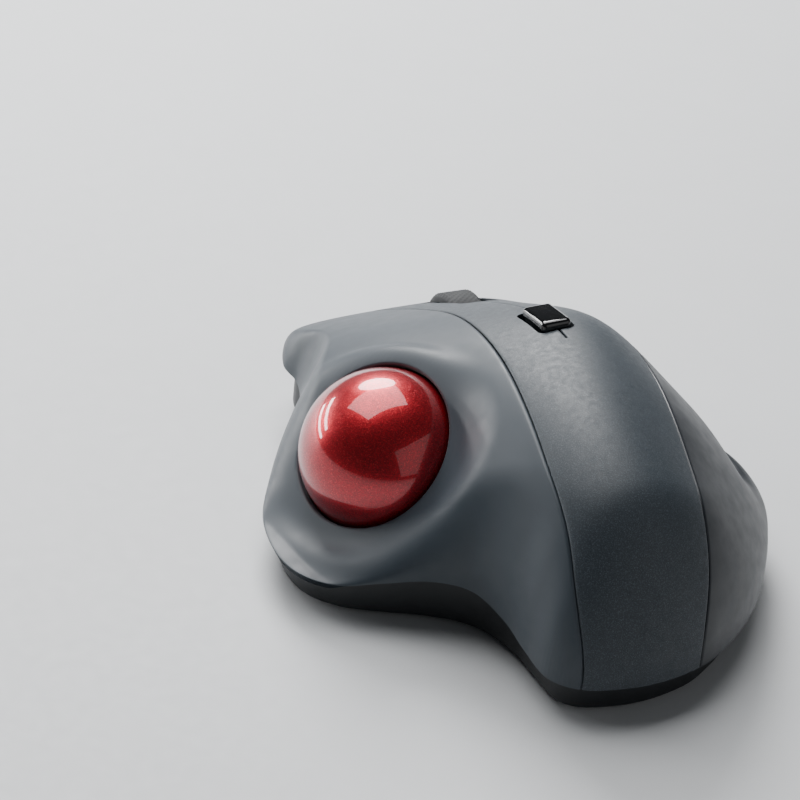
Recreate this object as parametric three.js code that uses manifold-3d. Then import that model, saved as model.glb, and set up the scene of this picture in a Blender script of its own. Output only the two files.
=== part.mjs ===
// A right-handed thumb-operated trackball mouse, in millimetres.
// +X is to the user's right, +Y away from the wrist, +Z up. The feet stand on z = 0.
import * as THREE from 'three';
import { mergeVertices } from 'three/addons/utils/BufferGeometryUtils.js';
import Module from 'manifold-3d';

const wasm = await Module();
wasm.setup();

// ---------------------------------------------------------------- driving dimensions

const GAP = 0.3; // between neighbouring pieces
const WALL = 2.2; // moulded shells
const FOOT_HEIGHT = 0.7;
const BASE_BOTTOM = 1.0;
const FLOOR_TOP = 3.2; // upper face of the base's floor
const BASE_INSET = 3.0; // the base stands back under the shells' lower edge
const BASE_WALL = 2.0;
const BASE_WALL_TOP = 17.0;
const CENTRE = [6, 2]; // plan point that the shells' rings of vertices shrink to
const RINGS = 10;
const EDGE_STEPS = 3; // points to a span of the lower edge
const EDGE_SKIP = 2; // the solids use every second point of the edge
const TALL = 90; // longer than the object, for cutting pieces
const TO_ORIGIN = [-1.25, -0.8, 0]; // puts the middle of the footprint on the origin

const BALL = new THREE.Vector3(-24.5, 5, 22);
const BALL_R = 17;
const OPENING_AXIS = new THREE.Vector3(-0.69, -0.22, 0.69).normalize();
const OPENING_R = 17.05;
const OPENING_LIFT = 4.6; // the opening's plane, above the ball's centre
const COLLAR_INNER = 16.5; // the shell is flat round the opening within this radius
const COLLAR_OUTER = 29; // and back on the crown beyond this one
const SOCKET_INNER_R = 18.2;
const SOCKET_OUTER_R = 20.4;
const BEARING_R = 1.25;
const SENSOR_AXIS = new THREE.Vector3(0.93, 0.1, -0.35).normalize();

const FRONT_WALL_TOP = 11; // of the base, below the pressed keys
const SPLIT_X = 8.65; // line between the two click keys, and the wheel's middle
const KEY_ROOT_Y = -2.5;
const WHEEL_Y = 44;
const WHEEL_Z = 17.4;
const WHEEL_R = 11.5;
const WHEEL_WIDTH = 7.2;
const HUB_R = 9.5;
const AXLE_R = 1.4;
const SLOT_REAR = 35.2;
const SLOT_FRONT = 57.6;
const SLOT_WIDTH = 8.6;
const CARRIER_PIVOT = { y: 26.8, z: 6.5 };
const ARM = 2; // thickness of the wheel carrier's arms

const BOARD_Z = 9;
const BOARD_THICKNESS = 1.6;
const BOARD_TOP = BOARD_Z + BOARD_THICKNESS;
const DPI = { x: 8.5, y: 7, width: 6.4, length: 10.4, proud: 1.5 };
const WELL_GAP = 1; // round the function button
const DPI_BOARD_Z = 37;
const LEFT_SWITCH = { x: -1.1, y: 40 };
const RIGHT_SWITCH = { x: 23, y: 41 };
const SWITCH_HEIGHT = 6.7; // with its plunger

const CELL_R = 7.1; // AA cell
const CELL_X = 10;
const CELL_Z = 11.3;
const CELL_REAR = -48;
const CELL_FRONT = 2.2;

// Lower edge of the shells, seen from above, clockwise from the rear end of the left seam:
// x, y, height of the edge, width of the roll from the edge up to the crown, crispness of the roll.
const RIM = [
  [-8.3, -58, 8, 17, 0],
  [-13.2, -53, 8, 13, 0],
  [-14.4, -45, 8.6, 10, 0],
  [-15.4, -37, 10, 9, 0],
  [-18.8, -29.3, 11.8, 9, 0],
  [-25.5, -24.5, 12, 9, 0],
  [-33.5, -21, 10.6, 9, 0],
  [-41.5, -16.8, 8.6, 9, 0],
  [-47.2, -10.5, 8, 9, 0],
  [-49.2, -2, 8, 9, 0],
  [-47.6, 9, 8, 8, 0],
  [-42, 20, 8.6, 6.5, 0],
  [-34.5, 31, 10, 5, 0.4],
  [-28.8, 39.5, 11.5, 4.6, 0.8],
  [-26.8, 46.5, 12, 4.6, 0.8],
  [-27.4, 53, 12.2, 4, 0.6],
  [-24.6, 59, 13.5, 3.5, 0],
  [-17, 61.6, 15, 3.5, 0],
  [-6.5, 61.6, 15.5, 4, 0],
  [8, 61.8, 15.5, 4, 0],
  [20, 61, 15, 4, 0],
  [28.5, 58.3, 14, 4, 0],
  [33.5, 52, 12, 5, 0],
  [37.2, 44, 10, 6, 0],
  [40.2, 33, 9, 6, 0],
  [42.8, 21, 8.5, 6, 0],
  [45.6, 10, 8, 6, 0],
  [49.2, 0.5, 8, 6, 0],
  [51.6, -9, 8, 6, 0],
  [50.6, -19, 8, 6, 0],
  [46.5, -28, 8, 7, 0],
  [42, -35.5, 8, 8, 0],
  [36.5, -43, 8, 10, 0],
  [30, -49.5, 8, 13, 0],
  [22.5, -55, 8, 16, 0],
  [16.6, -58, 8, 18, 0],
  [8, -60, 8, 18, 0],
  [0, -60, 8, 18, 0],
];

// Seams between the left shell, the palm panel and the right shell, from the rear edge forwards.
const LEFT_SEAM = [
  [-8.3, -58], [-9, -52], [-8.4, -44], [-7.7, -32], [-6.2, -18],
  [-4.5, -2], [-3.2, 14], [-2.2, 28], [-2.4, 42], [-4, 52], [-6.5, 61.6],
];
const RIGHT_SEAM = [
  [16.6, -58], [18.8, -52], [19.8, -44], [21.2, -34], [23, -22],
  [25.4, -8], [27.3, 6], [28.5, 20], [28.8, 34], [28.6, 48], [28.5, 58.3],
];

// Height of the crown over the plan: one row per section from the wrist forwards,
// one column per station from left to right. A cubic B-spline smooths between them.
const SECTION_START = -70;
const SECTION_STEP = 16;
const STATION_START = -54;
const STATION_STEP = 12;
const PLAIN_WITHIN = 3; // distance from the edge up to which the plain distance counts
const ROLL_FULLNESS = 2.5; // power of the roll's curve: 2 is a quarter ellipse
const GROOVE = { x: 43.5, y: -9, halfWidth: 3.2, halfLength: 12, depth: 4.5 }; // under the ring finger
const CROWN = [
  [-8, 0, 4, 2, 6, 8, 6, 2, -4, -12, -16],
  [-4, 2, 6, 20, 35, 40, 34, 22, 10, 2, -6],
  [-2, 4, 11, 28, 43, 47, 41, 29, 16, 10, 4],
  [2, 8, 16, 32, 46, 50, 46, 38, 23.5, 11, 8],
  [4, 10, 21, 36, 46, 50, 49, 38, 26, 10, 8],
  [4, 12, 26, 37, 44, 47, 49, 38.5, 16.5, 9, 6],
  [6, 18, 30, 36, 38, 40, 37.5, 28, 13, 7, 4],
  [8, 16, 24, 28, 29, 30, 30, 21, 10, 5, 0],
  [8, 14, 17, 19, 20, 20, 20, 16, 8, 1, -4],
  [2, 6, 8, 8, 8, 8, 8, 6, 0, -6, -10],
];

// ---------------------------------------------------------------- finishes

const finish = (color, roughness, metalness = 0) =>
  new THREE.MeshStandardMaterial({ color, roughness, metalness });
const FINISH = {
  softTouch: finish(0x5b6570, 0.62),
  palm: finish(0x4b545d, 0.7),
  dark: finish(0x1c2229, 0.5),
  base: finish(0x0e1114, 0.6),
  red: finish(0xa81020, 0.22, 0.6),
  gloss: finish(0x090a0b, 0.12),
  tyre: finish(0x17191b, 0.85),
  metal: finish(0xb9bcbe, 0.25, 1),
  ceramic: finish(0xe8e6e0, 0.2),
  natural: finish(0xd8d6cd, 0.6),
  board: finish(0x14402a, 0.5),
  chip: finish(0x141414, 0.5),
  foot: finish(0x222426, 0.8),
  cell: finish(0x2f3b4d, 0.35),
  lens: finish(0xdfe8ee, 0.1),
};

// ---------------------------------------------------------------- solids

/** A closed manifold-3d solid from any three.js geometry. */
function solid(geometry) {
  const bare = geometry.index ? geometry.toNonIndexed() : geometry.clone();
  for (const name of Object.keys(bare.attributes)) {
    if (name !== 'position') bare.deleteAttribute(name);
  }
  const merged = mergeVertices(bare, 1e-4);
  const made = new wasm.Manifold(new wasm.Mesh({
    numProp: 3,
    vertProperties: merged.attributes.position.array,
    triVerts: Uint32Array.from(merged.index.array),
  }));
  return made;
}

/** The three.js geometry of a manifold-3d solid. */
function geometryOf(body) {
  const mesh = body.getMesh();
  const geometry = new THREE.BufferGeometry();
  geometry.setAttribute('position', new THREE.BufferAttribute(mesh.vertProperties, 3));
  geometry.setIndex(new THREE.BufferAttribute(mesh.triVerts, 1));
  geometry.computeVertexNormals();
  return geometry;
}

const joined = (first, ...rest) => rest.reduce((body, other) => body.add(other), first);
const cut = (first, ...rest) => rest.reduce((body, other) => body.subtract(other), first);

/** A solid box between two corners. */
function box(x0, y0, z0, x1, y1, z1) {
  const geometry = new THREE.BoxGeometry(x1 - x0, y1 - y0, z1 - z0);
  return solid(geometry.translate((x0 + x1) / 2, (y0 + y1) / 2, (z0 + z1) / 2));
}

/** A solid cylinder from `from`, `length` long, pointing along `axis`. */
function rod(radius, from, axis, length, sides = 24) {
  const geometry = new THREE.CylinderGeometry(radius, radius, length, sides);
  geometry.translate(0, length / 2, 0);
  const turn = new THREE.Quaternion().setFromUnitVectors(new THREE.Vector3(0, 1, 0), axis);
  return solid(geometry.applyQuaternion(turn).translate(from.x, from.y, from.z));
}

const UP = new THREE.Vector3(0, 0, 1);
const RIGHT = new THREE.Vector3(1, 0, 0);
const AWAY = new THREE.Vector3(0, 1, 0);
const at = (x, y, z) => new THREE.Vector3(x, y, z);

function ball(radius, centre, across, down) {
  const geometry = new THREE.SphereGeometry(radius, across, down);
  return solid(geometry.translate(centre.x, centre.y, centre.z));
}

/** A flat outline drawn upwards from z0 to z1. */
function prism(points, z0, z1) {
  const shape = new THREE.Shape(points.map(([x, y]) => new THREE.Vector2(x, y)));
  const geometry = new THREE.ExtrudeGeometry(shape, { depth: z1 - z0, bevelEnabled: false });
  return solid(geometry.translate(0, 0, z0));
}

/** A rounded rectangle centred on x, y and drawn upwards from z0 to z1. */
function pad(x, y, width, length, radius, z0, z1, bevel = 0) {
  const [w, l] = [width / 2 - bevel, length / 2 - bevel];
  const r = radius - bevel;
  const shape = new THREE.Shape();
  shape.absarc(w - r, l - r, r, 0, Math.PI / 2);
  shape.absarc(r - w, l - r, r, Math.PI / 2, Math.PI);
  shape.absarc(r - w, r - l, r, Math.PI, 1.5 * Math.PI);
  shape.absarc(w - r, r - l, r, 1.5 * Math.PI, 2 * Math.PI);
  const geometry = new THREE.ExtrudeGeometry(shape, {
    depth: z1 - z0 - 2 * bevel,
    curveSegments: 3,
    bevelEnabled: bevel > 0,
    bevelSize: bevel,
    bevelThickness: bevel,
    bevelSegments: 2,
  });
  return solid(geometry.translate(x, y, z0 + bevel));
}

/** A turned piece: radius and height pairs about a vertical axis. */
function turned(profile, sides = 24) {
  const points = profile.map(([r, z]) => new THREE.Vector2(r, z));
  return solid(new THREE.LatheGeometry(points, sides).rotateX(Math.PI / 2));
}

// ---------------------------------------------------------------- the body's surface

/** A point on a uniform Catmull-Rom span through b and c, for lists of numbers. */
function between(a, b, c, d, t) {
  return b.map((_, k) => 0.5 * (2 * b[k] + (c[k] - a[k]) * t
    + (2 * a[k] - 5 * b[k] + 4 * c[k] - d[k]) * t * t
    + (3 * b[k] - a[k] - 3 * c[k] + d[k]) * t * t * t));
}

/** A closed loop through `points`, with `steps` points to a span. */
function closedLoop(points, steps) {
  const n = points.length;
  const loop = [];
  for (let i = 0; i < n; i += 1) {
    const [a, b, c, d] = [-1, 0, 1, 2].map((k) => points[(i + k + n) % n]);
    for (let s = 0; s < steps; s += 1) loop.push(between(a, b, c, d, s / steps));
  }
  return loop;
}

/** An open line through `points`, with `steps` points to a span, run on past both ends. */
function seamLine(points, steps, shift) {
  const first = points[0];
  const last = points[points.length - 1];
  const padded = [first, ...points, last];
  const line = [[first[0] + shift, -TALL]];
  for (let i = 1; i < points.length; i += 1) {
    for (let s = 0; s < steps; s += 1) {
      const p = between(padded[i - 1], padded[i], padded[i + 1], padded[i + 2], s / steps);
      line.push([p[0] + shift, p[1]]);
    }
  }
  line.push([last[0] + shift, last[1]], [last[0] + shift, TALL]);
  return line;
}

const EDGE = closedLoop(RIM, EDGE_STEPS);

/**
 * How far a point stands inside the lower edge, and the edge's height, roll and crispness that count there.
 * Close to the edge this is the plain distance. Further in it is the one that a sum over the whole edge
 * gives, which equals the plain one beside a straight edge and has no crease at corners.
 */
function nearestEdge(x, y) {
  let best = { distance: Infinity };
  let total = 0;
  const weighed = [0, 0, 0];
  EDGE.forEach((a, i) => {
    const b = EDGE[(i + 1) % EDGE.length];
    const [dx, dy] = [b[0] - a[0], b[1] - a[1]];
    const along = ((x - a[0]) * dx + (y - a[1]) * dy) / (dx * dx + dy * dy);
    const t = THREE.MathUtils.clamp(along, 0, 1);
    const distance = Math.hypot(x - a[0] - t * dx, y - a[1] - t * dy);
    if (distance < best.distance) {
      best = { distance, values: [2, 3, 4].map((k) => a[k] + t * (b[k] - a[k])) };
    }
    const middle = (x - (a[0] + b[0]) / 2) ** 2 + (y - (a[1] + b[1]) / 2) ** 2 + 1e-6;
    const weight = Math.hypot(dx, dy) / middle ** 2;
    total += weight;
    [2, 3, 4].forEach((k, v) => { weighed[v] += weight * (a[k] + b[k]) / 2; });
  });
  const smooth = (Math.PI / 2 / total) ** (1 / 3);
  const share = THREE.MathUtils.smootherstep(best.distance, PLAIN_WITHIN, 2 * PLAIN_WITHIN);
  const blended = best.values.map((v, k) => THREE.MathUtils.lerp(v, weighed[k] / total, share));
  const [height, roll, crisp] = blended;
  return { distance: THREE.MathUtils.lerp(best.distance, smooth, share), height, roll, crisp };
}

const splineWeights = (t) => [
  (1 - t) ** 3 / 6,
  (3 * t ** 3 - 6 * t ** 2 + 4) / 6,
  (-3 * t ** 3 + 3 * t ** 2 + 3 * t + 1) / 6,
  t ** 3 / 6,
];

/** The crown's height before the collar and the rolled edge. */
function crownHeight(x, y) {
  const column = (x - STATION_START) / STATION_STEP;
  const row = (y - SECTION_START) / SECTION_STEP;
  const i = THREE.MathUtils.clamp(Math.floor(column), 1, CROWN[0].length - 3);
  const j = THREE.MathUtils.clamp(Math.floor(row), 1, CROWN.length - 3);
  const across = splineWeights(column - i);
  const along = splineWeights(row - j);
  let height = 0;
  along.forEach((wy, b) => across.forEach((wx, a) => {
    height += wy * wx * CROWN[j - 1 + b][i - 1 + a];
  }));
  return height;
}

/** The crown, flattened to the opening's plane around the ball. */
function collaredHeight(x, y) {
  const crown = crownHeight(x, y);
  const tilt = OPENING_AXIS.x * (x - BALL.x) + OPENING_AXIS.y * (y - BALL.y);
  const plane = BALL.z + (OPENING_LIFT - tilt) / OPENING_AXIS.z;
  const radius = at(x, y, plane).sub(BALL).cross(OPENING_AXIS).length();
  const away = THREE.MathUtils.smootherstep(radius, COLLAR_INNER, COLLAR_OUTER);
  const across = (x - GROOVE.x) / GROOVE.halfWidth;
  const along = (y - GROOVE.y) / GROOVE.halfLength;
  const groove = GROOVE.depth * Math.exp(-across * across - along * along);
  return THREE.MathUtils.lerp(plane, crown, away) - groove;
}

/** Height of the surface that lies `inset` inside the shells' outer face. */
function surfaceHeight(x, y, inset = 0) {
  const edge = nearestEdge(x, y);
  const crown = Math.max(collaredHeight(x, y), edge.height + 0.5) - 1.2 * inset;
  const s = THREE.MathUtils.clamp((edge.distance - inset) / edge.roll, 0, 1);
  const round = (1 - (1 - s) ** ROLL_FULLNESS) ** (1 / ROLL_FULLNESS);
  const roll = THREE.MathUtils.lerp(round, s, edge.crisp);
  return edge.height + Math.max(crown - edge.height, 0.3) * roll;
}

/** The lower edge moved inwards, as points with the edge's height. */
function insetEdge(inset) {
  return EDGE.filter((_, i) => i % EDGE_SKIP === 0).map((point, k) => {
    const i = EDGE_SKIP * k;
    const before = EDGE[(i + EDGE.length - 1) % EDGE.length];
    const after = EDGE[(i + 1) % EDGE.length];
    const along = new THREE.Vector2(after[0] - before[0], after[1] - before[1]).normalize();
    return [point[0] + inset * along.y, point[1] - inset * along.x, point[2]];
  });
}

/** A closed solid under the surface `inset` inside the shells' outer face. */
function bodySolid(inset, bottom) {
  const edge = insetEdge(inset);
  const n = edge.length;
  const positions = [CENTRE[0], CENTRE[1], surfaceHeight(...CENTRE, inset)];
  for (let ring = 1; ring <= RINGS; ring += 1) {
    const t = ring / RINGS;
    const reach = t * (1 + (1 - t) * 0.9);
    for (const [ex, ey, height] of edge) {
      const x = THREE.MathUtils.lerp(CENTRE[0], ex, reach);
      const y = THREE.MathUtils.lerp(CENTRE[1], ey, reach);
      positions.push(x, y, ring === RINGS ? height : surfaceHeight(x, y, inset));
    }
  }
  const triangles = [];
  const vertex = (ring, k) => 1 + (ring - 1) * n + ((k + n) % n);
  for (let k = 0; k < n; k += 1) triangles.push(0, vertex(1, k + 1), vertex(1, k));
  for (let ring = 1; ring < RINGS; ring += 1) {
    for (let k = 0; k < n; k += 1) {
      const [a, b] = [vertex(ring, k), vertex(ring, k + 1)];
      const [c, d] = [vertex(ring + 1, k), vertex(ring + 1, k + 1)];
      triangles.push(a, b, c, c, b, d);
    }
  }
  let last = RINGS;
  if (bottom !== null) {
    for (const [ex, ey] of edge) positions.push(ex, ey, bottom);
    for (let k = 0; k < n; k += 1) {
      const [a, b] = [vertex(RINGS, k), vertex(RINGS, k + 1)];
      const [c, d] = [vertex(RINGS + 1, k), vertex(RINGS + 1, k + 1)];
      triangles.push(a, b, c, c, b, d);
    }
    last = RINGS + 1;
  }
  positions.push(CENTRE[0], CENTRE[1], bottom ?? 9);
  const under = positions.length / 3 - 1;
  for (let k = 0; k < n; k += 1) triangles.push(under, vertex(last, k), vertex(last, k + 1));
  const geometry = new THREE.BufferGeometry();
  geometry.setAttribute('position', new THREE.Float32BufferAttribute(positions, 3));
  geometry.setIndex(triangles);
  return solid(geometry);
}

/** Region of plan to the left (-1) or right (1) of a seam, as a tall solid. */
function sideOf(seam, side) {
  const line = seamLine(seam, 2, side * GAP / 2);
  const far = side * TALL;
  const outline = [...line, [far, TALL], [far, -TALL]];
  return prism(side < 0 ? outline : outline.reverse(), -5, TALL);
}

/** Space that the ball, its collar gap and the opening take out of the left shell. */
function openingCutter() {
  const well = rod(OPENING_R, BALL, OPENING_AXIS, 40, 36);
  return well.add(ball(BALL_R + 0.6, BALL, 28, 18));
}

// ---------------------------------------------------------------- shells and keys

function shells() {
  const skin = cut(bodySolid(0, null), bodySolid(WALL, -3));
  const left = skin.intersect(sideOf(LEFT_SEAM, -1));
  const right = skin.intersect(sideOf(RIGHT_SEAM, 1));
  const palm = skin.intersect(sideOf(LEFT_SEAM, 1)).intersect(sideOf(RIGHT_SEAM, -1));
  const ahead = box(-TALL, KEY_ROOT_Y + GAP / 2, -5, TALL, TALL, TALL);
  const behind = box(-TALL, -TALL, -5, TALL, KEY_ROOT_Y - GAP / 2, TALL);
  const slotX = SLOT_WIDTH / 2;
  const slot = box(SPLIT_X - slotX, SLOT_REAR, 5, SPLIT_X + slotX, SLOT_FRONT, 60);
  const well = pad(DPI.x, DPI.y, DPI.width + 2 * WELL_GAP, DPI.length + 2 * WELL_GAP, 1.6, 20, 60);
  const key = (side) => {
    const inner = SPLIT_X + side * GAP / 2;
    const [x0, x1] = side < 0 ? [-TALL, inner] : [inner, TALL];
    const half = palm.intersect(ahead).intersect(box(x0, -TALL, -5, x1, TALL, TALL));
    return cut(half, slot, well);
  };
  const post = ({ x, y }) => {
    const low = BOARD_TOP + GAP + SWITCH_HEIGHT + 0.5;
    return rod(1, at(x, y, low), UP, surfaceHeight(x, y) - 1 - low, 12);
  };
  return {
    left_shell: cut(left, openingCutter()),
    palm_cover: palm.intersect(behind),
    right_shell: right,
    left_click_key: key(-1).add(post(LEFT_SWITCH)),
    right_click_key: key(1).add(post(RIGHT_SWITCH)),
  };
}

// ---------------------------------------------------------------- base

const SCREWS = [[-17, 44], [32, 38], [38, -24], [-1, -51.5]];
const FEET = [[-16, 53, 12, 4], [22, 53, 12, 4], [-40, -3, 4, 13], [43, -8, 4, 13], [9, -52, 10, 4]];
const PUSH_HOLE_R = 6;
const DOOR = { x: CELL_X, y: -23.5, width: 12.6, length: 50 };
const RECEIVER = { x: 33, y: 6, width: 13, length: 5.2 };
const SLEEVE_WALL = 1.8; // round the receiver's bay
const SLIDER = { x: 30, y: -16 };
const PAIRING = { x: 30, y: -30 };

/** Outline of the base, `inset` inside the shells' lower edge. */
const baseOutline = (inset) => insetEdge(inset).map(([x, y]) => [x, y]).reverse();

function baseCase() {
  const wall = cut(
    prism(baseOutline(BASE_INSET), BASE_BOTTOM, BASE_WALL_TOP),
    prism(baseOutline(BASE_INSET + BASE_WALL), FLOOR_TOP, TALL),
  ).intersect(bodySolid(WALL + 2 * GAP, -3));
  const raised = SCREWS.map(([x, y]) => rod(3.6, at(x, y, 3), UP, 7, 14));
  for (const x of [DPI.x - 4.6, DPI.x + 5.4]) raised.push(rod(1.8, at(x, DPI.y, 3), UP, 33.7, 12));
  for (const x of [-0.5, 14.9 + ARM - 1.5]) {
    raised.push(box(x, 25, 3, x + 2.4, 28.8, 8.7));
  }
  raised.push(box(CELL_X - 7, 3.4, 3, CELL_X + 7, 5, 15));
  const { x, y, width, length } = RECEIVER;
  const [sleeveX, sleeveY] = [width / 2 + SLEEVE_WALL, length / 2 + SLEEVE_WALL];
  raised.push(box(x - sleeveX, y - sleeveY, 3, x + sleeveX, y + sleeveY, 15));
  const holes = SCREWS.flatMap(([sx, sy]) => [
    rod(1.4, at(sx, sy, 0), UP, 20, 12),
    rod(2.8, at(sx, sy, 0), UP, 3, 16),
  ]);
  holes.push(rod(PUSH_HOLE_R, at(BALL.x, BALL.y, 0), UP, 4, 32));
  holes.push(pad(DOOR.x, DOOR.y, DOOR.width, DOOR.length, 1.5, 0, 4));
  holes.push(box(x - width / 2, y - length / 2, 0, x + width / 2, y + length / 2, 20));
  holes.push(pad(SLIDER.x, SLIDER.y, 4, 7.6, 0.6, 0, 4));
  holes.push(rod(2.35, at(PAIRING.x, PAIRING.y, 0), UP, 4, 20));
  holes.push(rod(1.3, at(-2, CARRIER_PIVOT.y, CARRIER_PIVOT.z), RIGHT, 22, 16));
  holes.push(box(SPLIT_X - 5, 50, 9, SPLIT_X + 5, SLOT_FRONT, 30));
  holes.push(box(-TALL, 46, FRONT_WALL_TOP, TALL, 70, 30));
  holes.push(ball(SOCKET_OUTER_R + GAP, BALL, 28, 18));
  return cut(joined(wall, ...raised), ...holes);
}

function screw(x, y) {
  const body = turned([[0, 1.25], [2.4, 1.25], [2.4, 2.5], [1.1, 2.7], [1.1, 9], [0, 9.8]], 12);
  return cut(body, rod(0.95, at(0, 0, 0), UP, 2.1, 6)).translate([x, y, 0]);
}

const foot = ([x, y, width, length]) => pad(x, y, width, length, 1.9, 0, FOOT_HEIGHT);

// ---------------------------------------------------------------- ball and sensor

function ballSocket() {
  const bowl = cut(ball(SOCKET_OUTER_R, BALL, 28, 18), ball(SOCKET_INNER_R, BALL, 28, 18));
  const trimmed = bowl.intersect(bodySolid(WALL + GAP, -3)).intersect(
    rod(TALL, BALL.clone().addScaledVector(OPENING_AXIS, 1.5), OPENING_AXIS.clone().negate(), 60, 8),
  );
  return cut(
    trimmed,
    box(-60, -30, 0, 10, 40, FLOOR_TOP + GAP),
    rod(4, BALL, SENSOR_AXIS, 30, 20),
    rod(PUSH_HOLE_R, at(BALL.x, BALL.y, 0), UP, 8, 24),
    ...bearingPlaces().map((place) => ball(BEARING_R + GAP, place, 10, 7)),
  );
}

/** Three places round the socket, below the ball's middle. */
function bearingPlaces() {
  const side = new THREE.Vector3().crossVectors(UP, OPENING_AXIS).normalize();
  const down = OPENING_AXIS.clone().negate();
  return [90, 210, 330].map((degrees) => {
    const turn = THREE.MathUtils.degToRad(degrees);
    const across = side.clone().applyAxisAngle(OPENING_AXIS, turn);
    const reach = down.clone().multiplyScalar(Math.sin(0.5)).addScaledVector(across, Math.cos(0.5));
    return BALL.clone().addScaledVector(reach, BALL_R + GAP + BEARING_R);
  });
}

/** A box standing across the sensor's axis, from `near` to `far` from the ball's centre. */
function sensorBlock(width, height, near, far) {
  const geometry = new THREE.BoxGeometry(width, far - near, height);
  geometry.translate(0, (near + far) / 2, 0);
  const turn = new THREE.Quaternion().setFromUnitVectors(AWAY, SENSOR_AXIS);
  return solid(geometry.applyQuaternion(turn).translate(BALL.x, BALL.y, BALL.z));
}

function ballParts() {
  const bearings = bearingPlaces().map((place) => ball(BEARING_R, place, 10, 7));
  return {
    trackball: ball(BALL_R, BALL, 30, 20),
    ball_socket: ballSocket(),
    ball_bearing_1: bearings[0],
    ball_bearing_2: bearings[1],
    ball_bearing_3: bearings[2],
    sensor_lens: rod(3.4, BALL.clone().addScaledVector(SENSOR_AXIS, 17.9), SENSOR_AXIS, 3.6, 20),
    sensor_chip: sensorBlock(8, 8, 21.8, 23.8),
    sensor_board: sensorBlock(13, 12, 24.1, 25.3),
  };
}

// ---------------------------------------------------------------- scroll wheel

/** A ring or disc about the wheel's axle. */
function wheelTurned(profile, sides) {
  const points = profile.map(([x, r]) => new THREE.Vector2(r, x));
  const geometry = new THREE.LatheGeometry(points, sides).rotateZ(-Math.PI / 2);
  return solid(geometry.translate(SPLIT_X, WHEEL_Y, WHEEL_Z));
}

function wheelTyre() {
  const w = WHEEL_WIDTH / 2;
  const r = HUB_R + GAP;
  const shoulder = WHEEL_R - 0.7;
  const profile = [[-w, r], [-w, shoulder], [1 - w, WHEEL_R], [w - 1, WHEEL_R], [w, shoulder], [w, r]];
  return wheelTurned([...profile, profile[0]], 40);
}

function wheelHub() {
  const w = WHEEL_WIDTH / 2;
  const bore = AXLE_R + GAP;
  const profile = [
    [-w, bore], [-w, 3.2], [0.7 - w, 3.6], [0.7 - w, 7.6], [-w, 8], [-w, HUB_R],
    [w, HUB_R], [w, 8], [w - 0.7, 7.6], [w - 0.7, 3.6], [w, 3.2], [w, bore],
  ];
  return wheelTurned([...profile, profile[0]], 32);
}

function wheelCarrier() {
  const inner = WHEEL_WIDTH / 2 + 0.5;
  const { y, z } = CARRIER_PIVOT;
  const side = [
    [24.6, 4.2], [31, 4.2], [47.6, 12.8], [47.6, 20], [41, 20], [31, 16.4], [29, 8.8], [24.6, 8.8],
  ];
  const arm = (x) => {
    const shape = new THREE.Shape(side.map(([sy, sz]) => new THREE.Vector2(sy, sz)));
    const geometry = new THREE.ExtrudeGeometry(shape, { depth: ARM, bevelEnabled: false });
    geometry.rotateX(Math.PI / 2).rotateZ(Math.PI / 2);
    return solid(geometry.translate(x, 0, 0));
  };
  const left = SPLIT_X - inner - ARM;
  const right = SPLIT_X + inner;
  const frame = joined(
    arm(left),
    arm(right),
    box(left, 24.6, 4.2, right + ARM, 29, 8.8),
    box(right, 32, 14.9, 21, 36, 16.4),
    rod(1, at(left - 2.4, y, z), RIGHT, right - left + ARM + 4.8, 16),
  );
  return cut(frame, rod(AXLE_R + GAP, at(0, WHEEL_Y, WHEEL_Z), RIGHT, 30, 20));
}

function wheelParts() {
  const encoder = cut(
    box(16, 39, BOARD_TOP + GAP, 19.4, 49, 20.4),
    rod(AXLE_R + 0.7, at(10, WHEEL_Y, WHEEL_Z), RIGHT, 20, 20),
  );
  return {
    wheel_tyre: wheelTyre(),
    wheel_hub: wheelHub(),
    wheel_axle: rod(AXLE_R, at(2.3, WHEEL_Y, WHEEL_Z), RIGHT, 16.5, 20),
    wheel_carrier: wheelCarrier(),
    wheel_encoder: encoder,
  };
}

// ---------------------------------------------------------------- electronics and power

/** A push switch: a body on a board with a short plunger. */
function pushSwitch(x, y, z, width, length, height, plunger = 1.5) {
  const body = box(x - width / 2, y - length / 2, z, x + width / 2, y + length / 2, z + height);
  return body.add(rod(plunger, at(x, y, z + height - 0.5), UP, 0.9, 12));
}

function mainBoard() {
  const outline = [
    [-7, 16], [27, 16], [27, 51.5], [15.9, 51.5], [15.9, 23.5], [1.9, 23.5], [1.9, 51.5], [-7, 51.5],
  ];
  return prism(outline, BOARD_Z, BOARD_TOP);
}

function electronics() {
  const z = BOARD_TOP + GAP;
  const microSwitch = ({ x, y }) => joined(
    box(x - 2.9, y - 4, z, x + 2.9, y + 8.8, z + SWITCH_HEIGHT - 0.5),
    box(x - 0.7, y - 0.6, z + SWITCH_HEIGHT - 1, x + 0.7, y + 0.6, z + SWITCH_HEIGHT),
  );
  const dpiZ = DPI_BOARD_Z + 1.2 + GAP;
  return {
    main_board: mainBoard(),
    radio_chip: box(5, 17.5, z, 12, 22.5, z + 1.2),
    left_click_switch: microSwitch(LEFT_SWITCH),
    right_click_switch: microSwitch(RIGHT_SWITCH),
    wheel_click_switch: pushSwitch(19, 34, z, 5.6, 5.6, 3.2),
    dpi_board: pad(DPI.x + 0.4, DPI.y, 14.4, 8.4, 1, DPI_BOARD_Z, DPI_BOARD_Z + 1.2),
    dpi_switch: pushSwitch(DPI.x, DPI.y, dpiZ, 5, 5, 1.9, 1.2),
    power_switch: box(SLIDER.x - 2.5, SLIDER.y - 4.5, 4.4, SLIDER.x + 2.5, SLIDER.y + 4.5, 8),
    pairing_switch: box(PAIRING.x - 3, PAIRING.y - 3, 5, PAIRING.x + 3, PAIRING.y + 3, 8),
  };
}

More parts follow.
